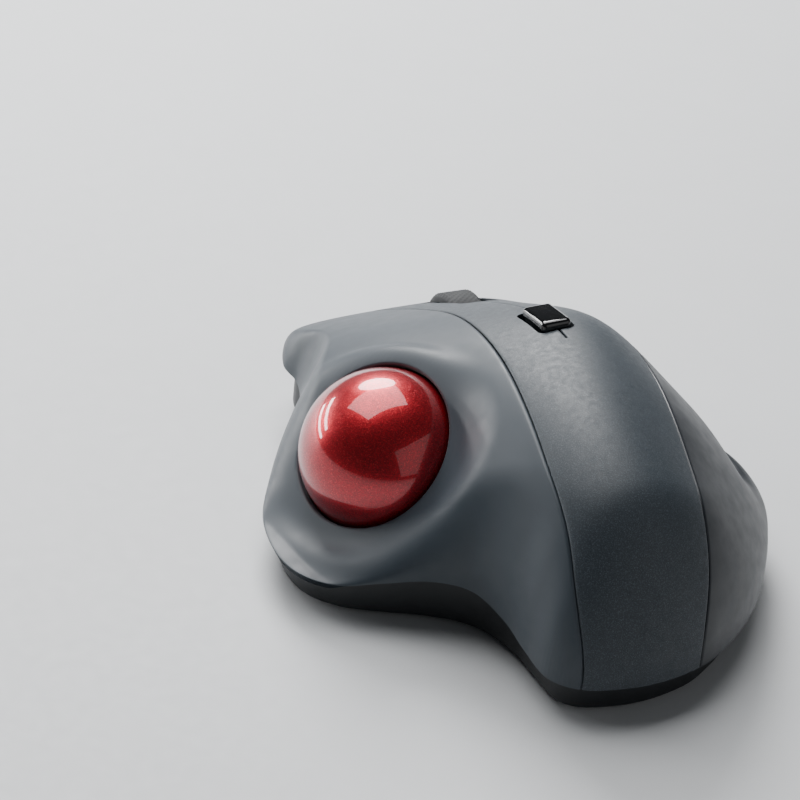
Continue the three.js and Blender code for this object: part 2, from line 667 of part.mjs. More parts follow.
function dpiButton() {
  const top = surfaceHeight(DPI.x, DPI.y) + DPI.proud;
  const low = DPI_BOARD_Z + 1.2 + GAP + 2.3 + 0.5;
  const tilt = new THREE.Matrix4().makeRotationFromEuler(new THREE.Euler(-0.23, -0.04, 0));
  const cap = pad(0, 0, DPI.width, DPI.length, 1.2, -3.2, 0, 0.5)
    .transform(tilt.elements)
    .translate([DPI.x, DPI.y, top]);
  return cap.add(rod(1.6, at(DPI.x, DPI.y, low), UP, top - 1.5 - low, 16));
}

function springCoil() {
  const [turns, radius, start, length] = [5, 3.4, -53, 4.4];
  const steps = 10;
  const points = [];
  for (let i = 0; i <= turns * steps; i += 1) {
    const angle = (i / steps) * 2 * Math.PI;
    const y = start + (length * i) / (turns * steps);
    points.push(at(CELL_X + radius * Math.cos(angle), y, CELL_Z + radius * Math.sin(angle)));
  }
  const section = new THREE.Shape();
  section.absarc(0, 0, 0.3, 0, 2 * Math.PI);
  return solid(new THREE.ExtrudeGeometry(section, {
    steps: turns * steps,
    curveSegments: 3,
    extrudePath: new THREE.CatmullRomCurve3(points),
  }));
}

function battery() {
  const [front, nub] = [CELL_FRONT - 1, 2.75];
  const body = rod(CELL_R, at(CELL_X, CELL_REAR, CELL_Z), AWAY, front - CELL_REAR, 32);
  return body.add(rod(nub, at(CELL_X, front - 0.5, CELL_Z), AWAY, 1.5, 16));
}

function powerParts() {
  const { x, y } = RECEIVER;
  const door = pad(DOOR.x, DOOR.y, DOOR.width - 0.6, DOOR.length - 0.6, 1.2, 1.1, 3);
  return {
    battery_cell: battery(),
    battery_spring: springCoil(),
    battery_contact: box(CELL_X - 4, 2.5, 6, CELL_X + 4, 3.1, 16),
    battery_door: cut(door, rod(5, at(DOOR.x, 6, -3.4), at(0, -1, 0), 10, 24)),
    usb_receiver: joined(
      pad(x, y, 12.4, 4.6, 1, 1.3, 7),
      box(x - 6, y - 2.2, 6.5, x + 6, y + 2.2, 18),
    ),
    power_slider: joined(
      box(SLIDER.x - 1.7, SLIDER.y - 0.3, 1.6, SLIDER.x + 1.7, SLIDER.y + 3.5, 4.1),
      box(SLIDER.x - 1.7, SLIDER.y + 1.3, 1.2, SLIDER.x + 1.7, SLIDER.y + 1.9, 2),
    ),
    pairing_button: rod(2, at(PAIRING.x, PAIRING.y, 1.3), UP, 3.2, 20),
  };
}

// ---------------------------------------------------------------- the assembly

const FINISH_OF = {
  left_shell: 'softTouch', palm_cover: 'palm', right_shell: 'dark', base_case: 'base',
  left_click_key: 'palm', right_click_key: 'palm',
  trackball: 'red', ball_socket: 'base', ball_bearing_1: 'ceramic', ball_bearing_2: 'ceramic',
  ball_bearing_3: 'ceramic', sensor_lens: 'lens', sensor_chip: 'chip', sensor_board: 'board',
  wheel_tyre: 'tyre', wheel_hub: 'metal', wheel_axle: 'metal', wheel_carrier: 'base',
  wheel_encoder: 'chip', main_board: 'board', radio_chip: 'chip', left_click_switch: 'chip',
  right_click_switch: 'chip', wheel_click_switch: 'chip', dpi_board: 'board', dpi_switch: 'chip',
  dpi_button: 'gloss', power_switch: 'metal', pairing_switch: 'metal', power_slider: 'natural',
  pairing_button: 'base', battery_cell: 'cell', battery_spring: 'metal', battery_contact: 'metal',
  battery_door: 'base', usb_receiver: 'chip',
};

const group = new THREE.Group();
group.position.set(...TO_ORIGIN);
const add = (name, body, finishName) => {
  const mesh = new THREE.Mesh(geometryOf(body), FINISH[finishName ?? FINISH_OF[name]]);
  mesh.name = name;
  group.add(mesh);
};

const pieces = {
  base_case: baseCase(),
  ...shells(),
  ...ballParts(),
  ...wheelParts(),
  ...electronics(),
  dpi_button: dpiButton(),
  ...powerParts(),
};
for (const [name, body] of Object.entries(pieces)) add(name, body);
SCREWS.forEach(([x, y], i) => add(`case_screw_${i + 1}`, screw(x, y), 'metal'));
FEET.forEach((place, i) => add(`foot_pad_${i + 1}`, foot(place), 'foot'));

export default group;
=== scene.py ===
"""A right-handed, thumb-operated trackball mouse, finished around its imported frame.

Every shape is worked out in millimetres in the design's own frame (+X to the user's right, +Y away from
the wrist, +Z up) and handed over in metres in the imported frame, which is the same frame moved sideways.
"""

import logging
import math
from dataclasses import dataclass, field
from enum import Enum
from typing import Callable, Iterable, Sequence

import bmesh
import bpy
import numpy as np
from mathutils import Matrix, Vector

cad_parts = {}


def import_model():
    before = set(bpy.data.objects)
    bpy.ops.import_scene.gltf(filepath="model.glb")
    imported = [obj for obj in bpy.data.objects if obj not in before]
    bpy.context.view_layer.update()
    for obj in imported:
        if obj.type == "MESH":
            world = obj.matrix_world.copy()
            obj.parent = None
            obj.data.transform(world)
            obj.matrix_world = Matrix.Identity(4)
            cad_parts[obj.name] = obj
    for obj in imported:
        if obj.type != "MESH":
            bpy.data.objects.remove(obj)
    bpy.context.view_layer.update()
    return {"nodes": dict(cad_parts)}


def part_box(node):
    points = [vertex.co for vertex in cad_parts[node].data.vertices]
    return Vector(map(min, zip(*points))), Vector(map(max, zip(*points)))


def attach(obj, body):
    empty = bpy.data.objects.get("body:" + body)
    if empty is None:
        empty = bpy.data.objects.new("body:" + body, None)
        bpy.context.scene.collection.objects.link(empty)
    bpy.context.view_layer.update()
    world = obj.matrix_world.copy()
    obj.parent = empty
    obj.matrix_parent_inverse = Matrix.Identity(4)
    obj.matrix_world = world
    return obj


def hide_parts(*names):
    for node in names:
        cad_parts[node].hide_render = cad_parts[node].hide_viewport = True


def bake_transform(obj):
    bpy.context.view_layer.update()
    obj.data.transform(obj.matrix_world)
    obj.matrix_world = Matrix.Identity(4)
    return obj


log = logging.getLogger("trackball_mouse")

MM = 0.001
Line = Callable[[np.ndarray], np.ndarray]


class Side(Enum):
    """What a panel does along one of its sides."""

    SEAM = "a small rounded lip at a gap between two panels"
    LOWER_EDGE = "the roll down to the shells' lower edge"
    BUTT = "a flush joint that is not seen"


# ------------------------------------------------------------------ the body's surface


@dataclass(frozen=True)
class BodySurface:
    """The outer surface of the shells over the plan, and the lines that divide it."""

    # x, y, height of the edge, width of the roll up to the crown, crispness of the roll
    rim: tuple = (
        (-8.3, -58, 8, 17, 0), (-13.2, -53, 8, 13, 0), (-14.4, -45, 8.6, 10, 0), (-15.4, -37, 10, 9, 0),
        (-18.8, -29.3, 11.8, 9, 0), (-25.5, -24.5, 12, 9, 0), (-33.5, -21, 10.6, 9, 0),
        (-41.5, -16.8, 8.6, 9, 0), (-47.2, -10.5, 8, 9, 0), (-49.2, -2, 8, 9, 0), (-47.6, 9, 8, 8, 0),
        (-42, 20, 8.6, 6.5, 0), (-34.5, 31, 10, 5, 0.4), (-28.8, 39.5, 11.5, 4.6, 0.8),
        (-26.8, 46.5, 12, 4.6, 0.8), (-27.4, 53, 12.2, 4, 0.6), (-24.6, 59, 13.5, 3.5, 0),
        (-17, 61.6, 15, 3.5, 0), (-6.5, 61.6, 15.5, 4, 0), (8, 61.8, 15.5, 4, 0), (20, 61, 15, 4, 0),
        (28.5, 58.3, 14, 4, 0), (33.5, 52, 12, 5, 0), (37.2, 44, 10, 6, 0), (40.2, 33, 9, 6, 0),
        (42.8, 21, 8.5, 6, 0), (45.6, 10, 8, 6, 0), (49.2, 0.5, 8, 6, 0), (51.6, -9, 8, 6, 0),
        (50.6, -19, 8, 6, 0), (46.5, -28, 8, 7, 0), (42, -35.5, 8, 8, 0), (36.5, -43, 8, 10, 0),
        (30, -49.5, 8, 13, 0), (22.5, -55, 8, 16, 0), (16.6, -58, 8, 18, 0), (8, -60, 8, 18, 0),
        (0, -60, 8, 18, 0),
    )
    left_seam: tuple = (
        (-8.3, -58), (-9, -52), (-8.4, -44), (-7.7, -32), (-6.2, -18), (-4.5, -2), (-3.2, 14),
        (-2.2, 28), (-2.4, 42), (-4, 52), (-6.5, 61.6),
    )
    right_seam: tuple = (
        (16.6, -58), (18.8, -52), (19.8, -44), (21.2, -34), (23, -22), (25.4, -8), (27.3, 6),
        (28.5, 20), (28.8, 34), (28.6, 48), (28.5, 58.3),
    )
    # one row for each section from the wrist forwards, one column for each station from left to right
    crown: tuple = (
        (-8, 0, 4, 2, 6, 8, 6, 2, -4, -12, -16),
        (-4, 2, 6, 20, 35, 40, 34, 22, 10, 2, -6),
        (-2, 4, 11, 28, 43, 47, 41, 29, 16, 10, 4),
        (2, 8, 16, 32, 46, 50, 46, 38, 23.5, 11, 8),
        (4, 10, 21, 36, 46, 50, 49, 38, 26, 10, 8),
        (4, 12, 26, 37, 44, 47, 49, 38.5, 16.5, 9, 6),
        (6, 18, 30, 36, 38, 40, 37.5, 28, 13, 7, 4),
        (8, 16, 24, 28, 29, 30, 30, 21, 10, 5, 0),
        (8, 14, 17, 19, 20, 20, 20, 16, 8, 1, -4),
        (2, 6, 8, 8, 8, 8, 8, 6, 0, -6, -10),
    )
    section_start: float = -70
    section_step: float = 16
    station_start: float = -54
    station_step: float = 12
    ball: tuple = (-24.5, 5, 22)
    opening_axis: tuple = (-0.69, -0.22, 0.69)
    opening_lift: float = 4.6
    collar_inner: float = 16.5
    collar_outer: float = 29
    steps: int = 8
    plain_within: float = 3.0  # distance from the edge up to which the plain distance counts
    crease: float = 0.16  # share of the roll that rounds off a crisp edge
    fullness: float = 2.5  # power of the roll's curve: 2 is a quarter ellipse
    groove: tuple = (43.5, -9, 3.2, 12, 4.5)  # x, y, half-width, half-length and depth, under the ring finger

    def axis(self) -> np.ndarray:
        """Returns the unit vector through the middle of the ball's opening."""
        return np.array(self.opening_axis) / np.linalg.norm(self.opening_axis)

    def loop(self) -> np.ndarray:
        """Returns the closed lower edge as rows of x, y, height, roll and crispness."""
        points = np.array(self.rim, float)
        spans = [np.roll(points, shift, axis=0) for shift in (1, 0, -1, -2)]
        return np.stack([catmull_rom(*spans, k / self.steps) for k in range(self.steps)], 1).reshape(-1, 5)

    def along_edge(self, start: float, end: float) -> Line:
        """Returns a line along the lower edge between two of its corners, counted from the first."""
        loop = self.loop()

        def line(t: np.ndarray) -> np.ndarray:
            """Returns the points at the shares `t` of the line."""
            s = (start + np.asarray(t, float) * (end - start)) * self.steps
            i = np.floor(s).astype(int)
            f = (s - i)[..., None]
            count = len(loop)
            return (loop[i % count] * (1 - f) + loop[(i + 1) % count] * f)[..., :2]

        return line

    def along_seam(self, seam: tuple, start: float, end: float, shift: float) -> Line:
        """Returns a line along part of a seam.

        Args:
            seam: The seam's points.
            start: Where the part starts, as a share of the seam.
            end: Where it ends.
            shift: How far it is moved to the right, in millimetres.
        """
        points = np.array(seam, float)
        points = np.vstack([2 * points[0] - points[1], points, 2 * points[-1] - points[-2]])
        last = len(seam) - 1

        def line(t: np.ndarray) -> np.ndarray:
            """Returns the points at the shares `t` of the line."""
            s = np.clip((start + np.asarray(t, float) * (end - start)) * last, 0, last - 1e-9)
            i = s.astype(int)
            made = catmull_rom(points[i], points[i + 1], points[i + 2], points[i + 3], (s - i)[..., None])
            return made + np.array([shift, 0])

        return line

    def seam_share(self, seam: tuple, y: float) -> float:
        """Returns how far along a seam it passes `y`, as a share of the seam."""
        shares = np.linspace(0, 1, 2001)
        return float(np.interp(y, self.along_seam(seam, 0, 1, 0)(shares)[:, 1], shares))

    def nearest(self, xy: np.ndarray) -> tuple[np.ndarray, np.ndarray]:
        """Measures how far points stand inside the lower edge.

        Close to the edge this is the plain distance. Further in it is the distance that a sum over the
        whole edge gives, which equals the plain one beside a straight edge and has no crease at corners.

        Args:
            xy: Points of the plan.

        Returns:
            The distances, and rows of the edge's height, roll and crispness that count there.
        """
        start = self.loop()
        end = np.roll(start, -1, axis=0)
        best = np.full(len(xy), np.inf)
        values = np.zeros((len(xy), 3))
        total = np.zeros(len(xy))
        weighed = np.zeros((len(xy), 3))
        for a, b in zip(start, end):
            span = b[:2] - a[:2]
            t = np.clip((xy - a[:2]) @ span / (span @ span), 0, 1)
            distance = np.linalg.norm(xy - a[:2] - t[:, None] * span, axis=1)
            closer = distance < best
            best[closer] = distance[closer]
            values[closer] = a[2:] + t[closer, None] * (b[2:] - a[2:])
            middle = ((xy - (a[:2] + b[:2]) / 2) ** 2).sum(1) + 1e-6
            weight = np.linalg.norm(span) / middle ** 2
            total += weight
            weighed += weight[:, None] * (a[2:] + b[2:]) / 2
        smooth = (math.pi / 2 / total) ** (1 / 3)
        share = smoother_step((best - self.plain_within) / self.plain_within)
        distance = best + (smooth - best) * share
        mixed = smoother_step(best / self.plain_within)[:, None]
        return distance, values + (weighed / total[:, None] - values) * mixed

    def crown_height(self, xy: np.ndarray) -> np.ndarray:
        """Returns the crown's height, a cubic B-spline over the net."""
        net = np.array(self.crown, float)
        column = (xy[:, 0] - self.station_start) / self.station_step
        row = (xy[:, 1] - self.section_start) / self.section_step
        i = np.clip(np.floor(column).astype(int), 1, net.shape[1] - 3)
        j = np.clip(np.floor(row).astype(int), 1, net.shape[0] - 3)
        across = spline_weights(column - i)
        along = spline_weights(row - j)
        height = np.zeros(len(xy))
        for b in range(4):
            for a in range(4):
                height += along[b] * across[a] * net[j - 1 + b, i - 1 + a]
        return height

    def height(self, xy: np.ndarray) -> np.ndarray:
        """Returns the outer surface's height over each point of the plan."""
        axis = self.axis()
        ball = np.array(self.ball, float)
        flat = xy - ball[:2]
        plane = ball[2] + (self.opening_lift - flat @ axis[:2]) / axis[2]
        offset = np.column_stack([flat, plane - ball[2]])
        radius = np.linalg.norm(np.cross(offset, axis), axis=1)
        away = smoother_step((radius - self.collar_inner) / (self.collar_outer - self.collar_inner))
        crown = plane + (self.crown_height(xy) - plane) * away
        x, y, half_width, half_length, depth = self.groove
        crown -= depth * np.exp(-((xy[:, 0] - x) / half_width) ** 2 - ((xy[:, 1] - y) / half_length) ** 2)
        distance, values = self.nearest(xy)
        edge, roll, crisp = values.T
        crown = np.maximum(crown, edge + 0.5)
        s = distance / roll
        rounded = (1 - (1 - np.clip(s, 0, 1)) ** self.fullness) ** (1 / self.fullness)
        over = np.clip(s - (1 - self.crease), 0, 2 * self.crease)
        straight = np.minimum(s - over ** 2 / (4 * self.crease), 1)
        share = rounded + (straight - rounded) * crisp
        return edge + np.maximum(crown - edge, 0.3) * share


def catmull_rom(a: np.ndarray, b: np.ndarray, c: np.ndarray, d: np.ndarray, t: float) -> np.ndarray:
    """Returns points on the uniform Catmull-Rom span from b to c."""
    return 0.5 * (2 * b + (c - a) * t + (2 * a - 5 * b + 4 * c - d) * t ** 2
                  + (3 * b - a - 3 * c + d) * t ** 3)


def spline_weights(t: np.ndarray) -> tuple:
    """Returns the four weights of a uniform cubic B-spline."""
    return ((1 - t) ** 3 / 6, (3 * t ** 3 - 6 * t ** 2 + 4) / 6,
            (-3 * t ** 3 + 3 * t ** 2 + 3 * t + 1) / 6, t ** 3 / 6)


def smoother_step(t: np.ndarray) -> np.ndarray:
    """Returns 0 below 0, 1 above 1 and a curve with soft ends between them."""
    t = np.clip(t, 0, 1)
    return t ** 3 * (t * (6 * t - 15) + 10)


def straight_line(start: Sequence[float], end: Sequence[float]) -> Line:
    """Returns the straight line between two points of the plan."""
    a, b = np.array(start, float), np.array(end, float)
    return lambda t: a + np.asarray(t, float)[..., None] * (b - a)


def reversed_line(line: Line) -> Line:
    """Returns a line run the other way."""
    return lambda t: line(1 - np.asarray(t, float))


@dataclass
class Panel:
    """A moulded panel: a grid laid on the body's surface between four lines of the plan."""

    left: Line
    right: Line
    rear: Line
    front: Line
    sides: tuple[Side, Side, Side, Side]  # left, right, rear, front
    columns: int = 56
    rows: int = 150
    lip: float = 0.45
    lip_steps: int = 5
    relax_columns: int = 41
    relax_rows: int = 101
    relax_rounds: int = 500

    def stations(self, widths: np.ndarray, near: Side, far: Side, count: int) -> tuple:
        """Spreads grid lines over a width, closer together where the surface turns.

        Args:
            widths: The panel's width on each grid line that crosses these, in millimetres.
            near: What the panel does at the start of the width.
            far: What it does at the end.
            count: How many grid lines there are besides those of the lips.

        Returns:
            The shares of the width and how far each station drops below the surface.
        """
        turn = np.linspace(0, math.pi / 2, self.lip_steps)
        offsets, drops = self.lip * (1 - np.cos(turn)), self.lip * (1 - np.sin(turn))
        t = np.linspace(0, 1, count)
        if near is Side.LOWER_EDGE and far is Side.LOWER_EDGE:
            t = t ** 2 * (3 - 2 * t)
        elif near is Side.LOWER_EDGE:
            t = t ** 2 * (2 - t)
        elif far is Side.LOWER_EDGE:
            t = 1 - (1 - t) ** 2 * (1 + t)
        first = self.lip if near is Side.SEAM else 0.0
        last = self.lip if far is Side.SEAM else 0.0
        rows = []
        for width in widths:
            row = first + t * (width - first - last)
            if near is Side.SEAM:
                row = np.concatenate([offsets[:-1], row])
            if far is Side.SEAM:
                row = np.concatenate([row, width - offsets[-2::-1]])
            rows.append(row / width)
        drop = np.zeros(len(rows[0]))
        if near is Side.SEAM:
            drop[:self.lip_steps] = drops
        if far is Side.SEAM:
            drop[-self.lip_steps:] = drops[::-1]
        return np.array(rows), drop

    def filled(self, u: np.ndarray, v: np.ndarray, left: Line, right: Line, rear: Line,
               front: Line) -> np.ndarray:
        """Returns points of the plan between four lines, a Coons patch."""
        ue, ve = u[..., None], v[..., None]
        ends = np.zeros_like(v)
        return ((1 - ue) * left(v) + ue * right(v) + (1 - ve) * rear(u) + ve * front(u)
                - (1 - ue) * (1 - ve) * left(ends) - ue * (1 - ve) * right(ends)
                - (1 - ue) * ve * left(ends + 1) - ue * ve * right(ends + 1))

    def relaxed(self) -> np.ndarray:
        """Returns an even grid of the plan whose lines have been let slide until none cross."""
        u, v = np.meshgrid(np.linspace(0, 1, self.relax_columns), np.linspace(0, 1, self.relax_rows))
        p = self.filled(u, v, self.left, self.right, self.rear, self.front)
        for _ in range(self.relax_rounds):
            across = (p[1:-1, 2:] - p[1:-1, :-2]) / 2
            along = (p[2:, 1:-1] - p[:-2, 1:-1]) / 2
            a = (along ** 2).sum(-1)[..., None]
            b = (across * along).sum(-1)[..., None]
            c = (across ** 2).sum(-1)[..., None]
            twist = (p[2:, 2:] - p[2:, :-2] - p[:-2, 2:] + p[:-2, :-2]) / 4
            moved_to = a * (p[1:-1, 2:] + p[1:-1, :-2]) + c * (p[2:, 1:-1] + p[:-2, 1:-1]) - 2 * b * twist
            p[1:-1, 1:-1] = moved_to / (2 * (a + c) + 1e-9)
        return p

    def plan_at(self, even: np.ndarray, u: np.ndarray, v: np.ndarray) -> np.ndarray:
        """Returns the plan points at the shares u and v, read off the even grid and true on its sides."""
        rows, columns = even.shape[:2]

        def read(across: np.ndarray, along: np.ndarray) -> np.ndarray:
            """Reads the even grid between its points."""
            x, y = across * (columns - 1), along * (rows - 1)
            i = np.clip(x.astype(int), 0, columns - 2)
            j = np.clip(y.astype(int), 0, rows - 2)
            fx, fy = (x - i)[..., None], (y - j)[..., None]
            return ((1 - fy) * ((1 - fx) * even[j, i] + fx * even[j, i + 1])
                    + fy * ((1 - fx) * even[j + 1, i] + fx * even[j + 1, i + 1]))

        zero = np.zeros_like(u)
        errors = self.filled(
            u, v,
            lambda t: self.left(t) - read(zero, t), lambda t: self.right(t) - read(zero + 1, t),
            lambda t: self.rear(t) - read(t, zero), lambda t: self.front(t) - read(t, zero + 1))
        return read(u, v) + errors

    def grid(self, surface: BodySurface) -> np.ndarray:
        """Returns the panel's outer face as rows of points from the rear to the front."""
        left, right, rear, front = self.sides
        v, row_drop = self.stations(np.array([100.0]), rear, front, self.rows)
        even = self.relaxed()
        step = 0.02
        start = np.full_like(v, 0.0 if left is Side.SEAM else 1.0 - step)
        strip = self.plan_at(even, start + step, v) - self.plan_at(even, start, v)
        widths = np.linalg.norm(strip, axis=-1)[0] / step
        u, column_drop = self.stations(widths, left, right, self.columns)
        v = np.repeat(v.T, u.shape[1], 1)
        plan = self.plan_at(even, u, v)
        height = surface.height(plan.reshape(-1, 2)).reshape(v.shape)
        points = np.dstack([plan, height])
        normal = np.cross(np.gradient(points, axis=1), np.gradient(points, axis=0))
        normal /= np.linalg.norm(normal, axis=-1, keepdims=True) + 1e-12
        drop = np.maximum(column_drop[None, :], row_drop[:, None])
        return points - normal * drop[..., None]

    def build(self, surface: BodySurface) -> bmesh.types.BMesh:
        """Returns the panel's outer face as a mesh."""
        points = self.grid(surface)
        rows, columns = points.shape[:2]
        bm = bmesh.new()
        bmesh.ops.create_grid(bm, x_segments=columns - 1, y_segments=rows - 1, size=1)
        for vertex in bm.verts:
            column = round((vertex.co.x + 1) / 2 * (columns - 1))
            row = round((vertex.co.y + 1) / 2 * (rows - 1))
            vertex.co = points[row, column]
        return bm


# ------------------------------------------------------------------ materials


def linear(colour: str) -> tuple[float, float, float, float]:
    """Returns the linear colour of an sRGB hex value such as '#3a4048'."""
    values = [int(colour[k:k + 2], 16) / 255 for k in (1, 3, 5)]
    return (*[v / 12.92 if v <= 0.04045 else ((v + 0.055) / 1.055) ** 2.4 for v in values], 1.0)


def per_metre(size_mm: float) -> float:
    """Returns a texture scale whose cells are about `size_mm` across on Object coordinates."""
    return 1.0 / (size_mm * MM)


def add_node(tree: bpy.types.NodeTree, kind: str, settings: dict | None = None,
             inputs: dict | None = None) -> bpy.types.Node:
    """Adds one node to a material.

    Args:
        tree: The material's node tree.
        kind: The node's type.
        settings: Its own properties.
        inputs: Its sockets, each a value or an output socket to link from.

    Returns:
        The node.
    """
    made = tree.nodes.new(kind)
    for name, value in (settings or {}).items():
        setattr(made, name, value)
    for name, value in (inputs or {}).items():
        if isinstance(value, bpy.types.NodeSocket):
            tree.links.new(value, made.inputs[name])
        else:
            made.inputs[name].default_value = value
    return made


@dataclass(frozen=True)
class Finish:
    """A plain moulded or machined finish: a colour that drifts a little, and a fine relief."""

    name: str
    colour: str
    slot: str
    roughness: float = 0.5
    metallic: float = 0.0
    ior: float = 1.5
    drift: float = 0.06  # share by which the colour lightens and darkens over the piece
    drift_size: float = 14.0  # mm
    grain: float = 0.5  # mm across one grain of the relief
    relief: float = 0.01  # mm high
    sheen: float = 0.0
    coat: float = 0.0
    coat_roughness: float = 0.03

    def shader(self, tree: bpy.types.NodeTree) -> bpy.types.Node:
        """Adds the shader with its constant values and joins it to the output."""
        shader = add_node(tree, "ShaderNodeBsdfPrincipled", inputs={
            "Base Color": linear(self.colour), "Roughness": self.roughness, "Metallic": self.metallic,
            "IOR": self.ior, "Sheen Weight": self.sheen, "Sheen Roughness": 0.4,
            "Coat Weight": self.coat, "Coat Roughness": self.coat_roughness,
        })
        add_node(tree, "ShaderNodeOutputMaterial", inputs={"Surface": shader.outputs["BSDF"]})
        return shader

    def drifting(self, tree: bpy.types.NodeTree, place: bpy.types.NodeSocket) -> bpy.types.NodeSocket:
        """Returns the colour, a shade lighter or darker in soft patches."""
        patches = add_node(tree, "ShaderNodeTexNoise", inputs={
            "Vector": place, "Scale": per_metre(self.drift_size), "Detail": 3.0, "Roughness": 0.55})
        level = add_node(tree, "ShaderNodeMapRange", inputs={
            "Value": patches.outputs["Fac"], "From Min": 0.3, "From Max": 0.7,
            "To Min": 1 - self.drift, "To Max": 1 + self.drift})
        shade = add_node(tree, "ShaderNodeHueSaturation", inputs={
            "Value": level.outputs["Result"], "Color": linear(self.colour)})
        return shade.outputs["Color"]

    def uneven(self, tree: bpy.types.NodeTree, place: bpy.types.NodeSocket,
               size: float, spread: float) -> bpy.types.NodeSocket:
        """Returns a roughness that varies by `spread` in patches of `size` millimetres."""
        wear = add_node(tree, "ShaderNodeTexNoise", inputs={
            "Vector": place, "Scale": per_metre(size), "Detail": 4.0})
        level = add_node(tree, "ShaderNodeMapRange", inputs={
            "Value": wear.outputs["Fac"], "From Min": 0.3, "From Max": 0.7,
            "To Min": self.roughness - spread, "To Max": self.roughness + spread})
        return level.outputs["Result"]

    def dress(self, tree: bpy.types.NodeTree, shader: bpy.types.Node, place: bpy.types.NodeSocket) -> None:
        """Adds the finish's patterns to its shader."""
        tree.links.new(self.drifting(tree, place), shader.inputs["Base Color"])
        tree.links.new(self.uneven(tree, place, 3.0, 0.04), shader.inputs["Roughness"])
        grain = add_node(tree, "ShaderNodeTexNoise", inputs={
            "Vector": place, "Scale": per_metre(self.grain), "Detail": 2.0})
        bump = add_node(tree, "ShaderNodeBump", inputs={
            "Strength": 1.0, "Distance": self.relief * MM, "Height": grain.outputs["Fac"]})
        tree.links.new(bump.outputs["Normal"], shader.inputs["Normal"])

    def make(self) -> bpy.types.Material:
        """Returns the material."""
        material = bpy.data.materials.new(self.name)
        material.use_nodes = True
        tree = material.node_tree
        tree.nodes.clear()
        shader = self.shader(tree)
        place = add_node(tree, "ShaderNodeTexCoord").outputs["Object"]
        self.dress(tree, shader, place)
        return material


@dataclass(frozen=True)
class SparkGrained(Finish):
    """ABS from a spark-eroded mould under a slate lacquer: crisp, dense grain whose tips are painted a
    lighter slate as highlights, where light would catch them.
    """

    # painted highlight: the colour painted on the grain's tips, standing in for the light that they catch
    tip_highlight_paint: str = "#626d75"
    grit_size: float = 0.22  # the real grit is near 0.1 mm: drawn coarser, so that it shows
    tip_highlight_share: float = 0.4

    def dress(self, tree: bpy.types.NodeTree, shader: bpy.types.Node, place: bpy.types.NodeSocket) -> None:
        """Adds painted highlights on the grain's tips, grain relief and an uneven sheen."""
        grit = add_node(tree, "ShaderNodeTexNoise", inputs={
            "Vector": place, "Scale": per_metre(self.grit_size), "Detail": 3.0, "Roughness": 0.7})
        # painted highlight: where the grain stands highest, its colour is mixed towards the lighter one
        tips = add_node(tree, "ShaderNodeMapRange", inputs={
            "Value": grit.outputs["Fac"], "From Min": 0.5, "From Max": 0.68,
            "To Min": 0.0, "To Max": self.tip_highlight_share})
        mixed = add_node(tree, "ShaderNodeMix", {"data_type": "RGBA"}, {
            "Factor": tips.outputs["Result"], "A": self.drifting(tree, place), "B": linear(self.tip_highlight_paint)})
        tree.links.new(mixed.outputs["Result"], shader.inputs["Base Color"])
        tree.links.new(self.uneven(tree, place, 1.2, 0.07), shader.inputs["Roughness"])
        bump = add_node(tree, "ShaderNodeBump", inputs={
            "Strength": 1.0, "Distance": self.relief * MM, "Height": grit.outputs["Fac"]})
        tree.links.new(bump.outputs["Normal"], shader.inputs["Normal"])


@dataclass(frozen=True)
class CandyFlake(Finish):
    """Candy-red polyester: aluminium flake in a clear red resin, ground and polished as a ball."""

    # painted glint: the brighter red painted on a few flakes, standing in for the light that they catch
    bright: str = "#ff4a4a"
    deep: str = "#7d0413"
    flake: float = 0.17  # the real flake is near 0.05 mm: drawn coarser, so that it shows

    def dress(self, tree: bpy.types.NodeTree, shader: bpy.types.Node, place: bpy.types.NodeSocket) -> None:
        """Adds flakes that lie at slightly different angles and hold a different depth of red, and paints a
        few of them a brighter red as glints.
        """
        flakes = add_node(tree, "ShaderNodeTexVoronoi", {"feature": "F1"}, {
            "Vector": place, "Scale": per_metre(self.flake), "Randomness": 1.0})
        parts = add_node(tree, "ShaderNodeSeparateColor", inputs={"Color": flakes.outputs["Color"]})
        deep = add_node(tree, "ShaderNodeMix", {"data_type": "RGBA"}, {
            "Factor": parts.outputs["Red"], "A": linear(self.deep), "B": linear(self.colour)})
        # painted glint: a few flakes, picked at random, are mixed towards the brighter red
        painted_glint_mask = add_node(tree, "ShaderNodeMapRange", inputs={
            "Value": parts.outputs["Green"], "From Min": 0.85, "From Max": 1.0,
            "To Min": 0.0, "To Max": 0.35})
        with_painted_glints = add_node(tree, "ShaderNodeMix", {"data_type": "RGBA"}, {
            "Factor": painted_glint_mask.outputs["Result"], "A": deep.outputs["Result"], "B": linear(self.bright)})
        tree.links.new(with_painted_glints.outputs["Result"], shader.inputs["Base Color"])
        bump = add_node(tree, "ShaderNodeBump", inputs={
            "Strength": 0.35, "Distance": self.relief * MM, "Height": parts.outputs["Blue"]})
        tree.links.new(bump.outputs["Normal"], shader.inputs["Normal"])


